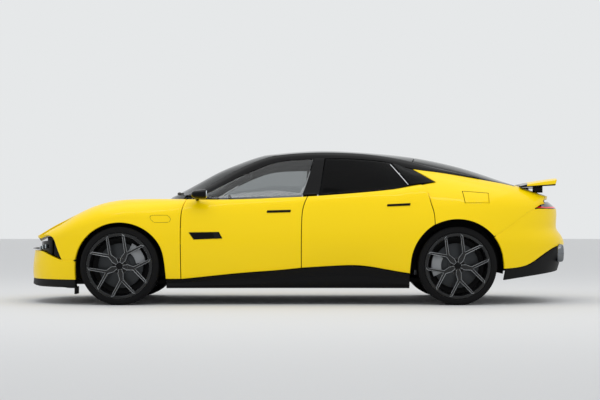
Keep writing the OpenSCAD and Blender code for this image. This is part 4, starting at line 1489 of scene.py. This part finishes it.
@dataclass
class Seats:
    """The seats: each cushion remeshed, swollen by cloth pressure, then given its sewn channels."""

    node: str = "seats"
    label: str = "seats_padded"
    voxel: float = 0.012
    start_in: float = 0.010
    pressure: float = 4.0
    frames: int = 20
    cap: float = 0.022
    channel_depth: float = 0.009
    channel_width: float = 0.011
    side_share: float = 0.62
    back_from: float = 0.6
    back_levels: tuple[float, ...] = (0.66, 0.76, 0.86, 0.96)
    cushion_steps: tuple[float, ...] = (0.12, 0.22, 0.32, 0.42)

    def build(self, car: Car) -> None:
        """Pads one front and one rear seat, copies them to the right side and attaches them.

        Args:
            car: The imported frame.
        """
        whole = car.copy(self.node, self.label)
        with Bench.editing(whole, "FACE", everything=True):
            bpy.ops.mesh.separate(type="LOOSE")
        seats = list(bpy.context.selected_objects)
        kept = []
        for seat in seats:
            if sum(vertex.co.y for vertex in seat.data.vertices) > 0:
                bpy.data.objects.remove(seat)
                continue
            self.swell(seat)
            self.sew(seat)
            kept += [seat, self.other_side(seat)]
        piece = Bench.settle(Bench.join(kept), self.label, 60)
        Bench.dress(piece, LEATHER)
        car.attach(piece, car.owner[self.node], self.node)

    def swell(self, seat: bpy.types.Object) -> None:
        """Remeshes a seat, draws it in a little and lets cloth pressure fill it.

        Args:
            seat: One seat as a plain solid.
        """
        Bench.apply(seat, "REMESH", mode="VOXEL", voxel_size=self.voxel)
        Bench.apply(seat, "SMOOTH", factor=0.5, iterations=6)
        mesh = seat.data
        inward = [vertex.co - vertex.normal * self.start_in for vertex in mesh.vertices]
        for vertex, place in zip(mesh.vertices, inward):
            vertex.co = place
        before = [vertex.co.copy() for vertex in mesh.vertices]
        Bench.focus(seat)
        cloth = seat.modifiers.new("padding", "CLOTH")
        cloth.settings.use_pressure = True
        cloth.settings.uniform_pressure_force = self.pressure
        cloth.settings.effector_weights.gravity = 0.0
        scene = bpy.context.scene
        for number in range(1, self.frames + 1):
            scene.frame_set(number)
        bpy.ops.object.modifier_apply(modifier=cloth.name)
        scene.frame_set(1)
        for vertex, start in zip(seat.data.vertices, before):
            step = vertex.co - start
            if step.length > self.cap:
                vertex.co = start + step.normalized() * self.cap

    def sew(self, seat: bpy.types.Object) -> None:
        """Draws the sewn channels into the cushion and the backrest.

        Args:
            seat: One swollen seat.
        """
        mesh = seat.data
        xs = [vertex.co.x for vertex in mesh.vertices]
        ys = [vertex.co.y for vertex in mesh.vertices]
        front, middle, half = min(xs), (min(ys) + max(ys)) / 2, (max(ys) - min(ys)) / 2
        moves = []
        for vertex in mesh.vertices:
            x, y, z = vertex.co.x - front, vertex.co.y - middle, vertex.co.z
            facing = max(vertex.normal.z - vertex.normal.x * 0.8, 0.0)
            gaps = [abs(abs(y) - half * self.side_share)]
            if abs(y) < half * self.side_share:
                on_back = z > self.back_from
                place, levels = (z, self.back_levels) if on_back else (x, self.cushion_steps)
                gaps += [abs(place - level) for level in levels]
            depth = max(math.exp(-((gap / self.channel_width) ** 2)) for gap in gaps)
            moves.append(vertex.normal * -(self.channel_depth * depth * min(facing, 1.0)))
        for vertex, move in zip(mesh.vertices, moves):
            vertex.co += move

    def other_side(self, seat: bpy.types.Object) -> bpy.types.Object:
        """Copies a seat to the right side of the car.

        Args:
            seat: Finished seat of the left side.

        Returns:
            The mirrored copy with its own mesh.
        """
        twin = seat.copy()
        twin.data = seat.data.copy()
        bpy.context.scene.collection.objects.link(twin)
        for vertex in twin.data.vertices:
            vertex.co.y = -vertex.co.y
        with Bench.editing(twin, "FACE", everything=True):
            bpy.ops.mesh.normals_make_consistent(inside=False)
        return twin


@dataclass
class Studio:
    """Plain studio: pale floor, soft light and the camera of the picture."""

    camera_place: Point = (0.014, -13.785, 0.728)
    lens_mm: float = 84.88
    shift_y: float = 25 / 600
    floor: str = "DADBDC"
    floor_size: float = 120.0
    backdrop: str = "E6E8E9"
    sky_colour: str = "F2F3F4"
    sky: float = 0.92

    def build(self) -> None:
        """Builds floor, lights and camera."""
        self.ground()
        self.lights()
        self.camera()

    def ground(self) -> None:
        """Lays the floor and sets the backdrop."""
        floor = Bench.new(bpy.ops.mesh.primitive_plane_add, size=self.floor_size)
        floor.name = "studio_floor"
        Bench.dress(floor, Finish("Studio floor", self.floor, roughness=0.8))
        world = bpy.data.worlds.new("Studio")
        bpy.context.scene.world = world
        world.use_nodes = True
        tree = world.node_tree
        back = tree.nodes["Background"]
        back.inputs["Color"].default_value = linear(self.sky_colour)
        back.inputs["Strength"].default_value = self.sky
        path = add_node(tree, "ShaderNodeLightPath")
        seen = path.outputs["Is Camera Ray"]
        for ray in ("Is Glossy Ray", "Is Transmission Ray"):
            both = add_node(tree, "ShaderNodeMath", settings={"operation": "MAXIMUM"})
            tree.links.new(seen, both.inputs[0])
            tree.links.new(path.outputs[ray], both.inputs[1])
            seen = both.outputs["Value"]
        wall = add_node(tree, "ShaderNodeBackground", {"Color": linear(self.backdrop), "Strength": 1.0})
        choice = add_node(tree, "ShaderNodeMixShader", {"Fac": seen})
        tree.links.new(back.outputs["Background"], choice.inputs[1])
        tree.links.new(wall.outputs["Background"], choice.inputs[2])
        tree.links.new(choice.outputs["Shader"], tree.nodes["World Output"].inputs["Surface"])

    def lights(self) -> None:
        """Hangs one large soft light above, and a strip for the gloss."""
        plan = [
            ("top_light", (0.0, -0.5, 6.0), (0.0, 0.0, 0.0), 9.0, 6.0, 120.0),
            ("strip_light", (0.0, -3.6, 5.0), (math.radians(35), 0.0, 0.0), 7.0, 0.5, 40.0),
        ]
        for name, place, turn, size_x, size_y, power in plan:
            bpy.ops.object.light_add(type="AREA", location=place, rotation=turn)
            lamp = bpy.context.object
            lamp.name = name
            lamp.data.shape = "RECTANGLE"
            lamp.data.size = size_x
            lamp.data.size_y = size_y
            lamp.data.energy = power

    def camera(self) -> None:
        """Sets the camera where the picture was taken from."""
        bpy.ops.object.camera_add(location=self.camera_place, rotation=(math.pi / 2, 0, 0))
        camera = bpy.context.object
        camera.name = "picture_camera"
        camera.data.lens = self.lens_mm
        camera.data.sensor_width = 36.0
        camera.data.shift_y = self.shift_y
        bpy.context.scene.camera = camera
        bpy.context.scene.view_settings.view_transform = "Standard"


@dataclass(frozen=True)
class Axle:
    """Where the wheels of one end of the car sit, and what carries their brakes."""

    end: str
    x: float
    half_track: float
    tyre_width: float
    shield_inset: float
    carrier: str
    z: float = 0.356

    def centre(self, side: Side) -> Point:
        """Centre of the wheel on one side."""
        return (self.x, side.value * self.half_track, self.z)


AXLES = (
    Axle("front", -1.6245, 0.8395, 0.265, 0.172, "steered_{}"),
    Axle("rear", 1.4445, 0.8195, 0.305, 0.157, "body_shell"),
)


def body_panels() -> list[Panel]:
    """Lists the panels of the body.

    Returns:
        Panels in the order they are built.
    """
    painted = [
        "front_bumper", "fenders", "quarters", "charge_flap", "rear_bumper", "hood", "tailgate",
        "door_front_left", "door_front_right", "door_rear_left", "door_rear_right",
    ]
    gloss = ["grille_band", "cowl", "side_rails", "sills"]
    satin = ["front_splitter", "rear_diffuser"]
    clear = ["glass_front_left", "glass_front_right"]
    dark = ["quarter_glass", "glass_rear_left", "glass_rear_right"]
    lined = ("quarters", "tailgate", "door_")
    panels = [Panel(node, PAINT, f"{node}_skin", lined=node.startswith(lined)) for node in painted]
    panels += [Panel(node, GLOSS_BLACK, f"{node}_skin") for node in gloss]
    panels += [Panel(node, SATIN_BLACK, f"{node}_skin", 1) for node in satin]
    panels.append(Panel("roof", ROOF_GLASS, "roof_pane"))
    # The windscreen's dark tint is partly real tint and partly painted shade of the cabin
    panels.append(Panel("windshield", SCREEN_GLASS_WITH_PAINTED_SHADE, "windshield_pane", edge_mm=1.0))
    panels += [Panel(node, CLEAR_GLASS, f"{node}_pane", edge_mm=1.0) for node in clear]
    panels += [Panel(node, DARK_GLASS, f"{node}_pane", edge_mm=1.0) for node in dark]
    panels.append(Panel("rear_window", DARK_GLASS, "rear_window_pane", levels=0, edge_mm=1.0))
    return panels


def solid_parts() -> list[Carved]:
    """Lists the solid parts that keep the shape of the construction.

    Returns:
        Parts in the order they are built.
    """
    return [
        Carved("battery_floor", SATIN_BLACK, 4.0),
        Carved("inner_frame", SATIN_BLACK),
        Carved("drive_units", CASTING, 4.0),
        Carved("suspension", CASTING),
        *(Carved(node, CALIPER) for node in ("rear_knuckles", "knuckle_left", "knuckle_right")),
        Carved("charge_tray", SATIN_BLACK, 1.0),
        Carved("arch_liners", SATIN_BLACK, 0.0),
        Carved("dashboard", LEATHER, 6.0, 3),
        Carved("steering_wheel", LEATHER),
        *(Carved(node, GLOSS_BLACK, 0.0) for node in ("mirror_left", "mirror_right")),
        Carved("headlamps", GLOSS_BLACK, 1.0),
    ]


def side_trims() -> list[SkinPatch]:
    """Lists the trim pieces that lie on the side of the car.

    Returns:
        Trim pieces of the left side; each one is built for both sides.
    """
    return [
        SkinPatch(
            "door_vent", "door_front_{}", ((-0.951, 0.596), (-0.690, 0.606), (-0.722, 0.665), (-0.996, 0.661)),
            GLOSS_BLACK, 0.4, 3.0,
        ),
        SkinPatch(
            "vent_fin", "door_front_{}", ((-0.760, 0.603), (-0.705, 0.609), (-0.738, 0.658), (-0.775, 0.657)),
            SATIN_BLACK, 3.2, 3.0, 6, 4,
        ),
        SkinPatch(
            "front_handle", "door_front_{}", ((-0.289, 0.838), (-0.073, 0.844), (-0.069, 0.866), (-0.285, 0.860)),
            GLOSS_BLACK, 0.4, 5.0,
        ),
        SkinPatch(
            "rear_handle", "door_rear_{}", ((0.804, 0.896), (1.014, 0.904), (1.018, 0.926), (0.808, 0.916)),
            GLOSS_BLACK, 0.4, 5.0,
        ),
        SkinPatch(
            "glass_strip", "glass_rear_{}", ((1.003, 1.096), (1.012, 1.096), (0.857, 1.290), (0.848, 1.290)),
            BRIGHT_TRIM, 0.3, 1.5, 3, 12,
        ),
    ]


def small_parts() -> list:
    """Lists the small added parts.

    Returns:
        Parts in the order they are built.
    """
    lamps = ((0.545, 0.515), (0.605, 0.523), (0.665, 0.531))
    seals = (
        ("door_seal", (0.075, 0.018, 0.62), (0.0275, 0.787, 0.67), 3.0),
        ("arch_front", (0.006, 0.40, 0.145), (-2.051, 0.655, 0.300), 1.5),
        ("gap_seal", (0.060, 0.016, 0.090), (0.085, 0.770, 0.950), 3.0),
        ("corner_seal", (0.030, 0.010, 0.050), (0.240, 0.626, 1.300), 3.0),
    )
    parts = [
        Wiper("wiper_left", -0.60, 0.02, 0.035),
        Wiper("wiper_right", 0.10, 0.62, 0.020),
        FrontTrunk(),
        BootLining(),
        *(RoofTrim(side) for side in Side),
        *(
            LampUnit(f"lamp_{place}_{side.word}", side.value * y, z)
            for side in Side
            for place, (y, z) in enumerate(lamps)
        ),
        Block("inside_mirror", (0.022, 0.230, 0.062), (-0.470, 0.0, 1.225), SATIN_BLACK, "body_shell", (0, 12, 0), 9),
        Block("mirror_stem", (0.018, 0.018, 0.110), (-0.500, 0.0, 1.285), SATIN_BLACK, "body_shell", (0, -30, 0), 5),
        NoseInsert("slot_backing", SATIN_BLACK, (0.055, 0.0, 0.045), 0.53),
        NoseInsert("nose_blade", GLOSS_BLACK, (-0.082, 0.0, -0.020), 0.53, 0.10, 0.62),
    ]
    for name, size, (x, y, z), round_mm in seals:
        for side in Side:
            place = (x, side.value * y, z)
            parts.append(Block(f"{name}_{side.word}", size, place, SATIN_BLACK, "body_shell", round_mm=round_mm))
    for side in Side:
        place = (-0.829, side.value * 1.010, 1.008)
        parts.append(MirrorGlass(f"mirror_glass_{side.word}", place, f"door_body_front_{side.word}"))
    for axle in AXLES:
        for side in Side:
            corner, carrier = f"{axle.end}_{side.word}", axle.carrier.format(side.word)
            parts.append(DustShield(corner, axle.centre(side), carrier, axle.shield_inset))
    parts += [OvalRing(f"outlet_{side.word}", (2.440, side.value * 0.560, 0.466)) for side in Side]
    return parts


def joint_strips() -> list[JointStrip]:
    """Lists the filler strips under the joints of the bumpers.

    Returns:
        Strips; each one is built for both sides.
    """
    return [
        JointStrip(
            "rear_joint", ("quarters", "rear_bumper"),
            ((1.792, 0.623), (1.8395, 0.655), (1.8915, 0.690), (1.944, 0.728), (1.9965, 0.765), (2.0475, 0.802),
             (2.0985, 0.838), (2.142, 0.860), (2.178, 0.877)),
        ),
        JointStrip(
            "front_joint", ("fenders", "front_bumper"),
            ((-2.160, 0.403), (-2.130, 0.403), (-2.090, 0.402), (-2.052, 0.401)), 0.010,
        ),
    ]


def fender_seams() -> list[SkinSeam]:
    """Lists the joint lines on the fenders.

    Returns:
        Joint lines; each one is built for both sides.
    """
    return [
        SkinSeam("fender_line", "fenders", ((-1.315, 0.751), (-1.175, 0.751), (-1.154, 0.783), (-1.185, 0.817),
                                            (-1.335, 0.817), (-1.352, 0.797))),
    ]


def main() -> None:
    """Builds every piece in order."""
    logging.basicConfig(level=logging.INFO, format="%(message)s")
    car = Car(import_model())
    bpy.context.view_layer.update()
    for panel in body_panels():
        panel.build(car)
    TailLamp("tail_lamp", RED_LENS, "tail_lamp_lens").build(car)
    for part in solid_parts():
        part.build(car)
    Spoiler("spoiler", PAINT).build(car)
    for small in small_parts():
        small.build(car)
    for trim in side_trims():
        for side in Side:
            replace(trim, node=trim.node.format(side.word)).build(car, side)
    for line in joint_strips() + fender_seams():
        for side in Side:
            line.build(car, side)
    for axle in AXLES:
        for side in Side:
            Wheel(f"{axle.end}_{side.word}", axle.centre(side), axle.tyre_width).build(car)
    Seats().build(car)
    Studio().build()


if __name__ == "__main__":
    main()
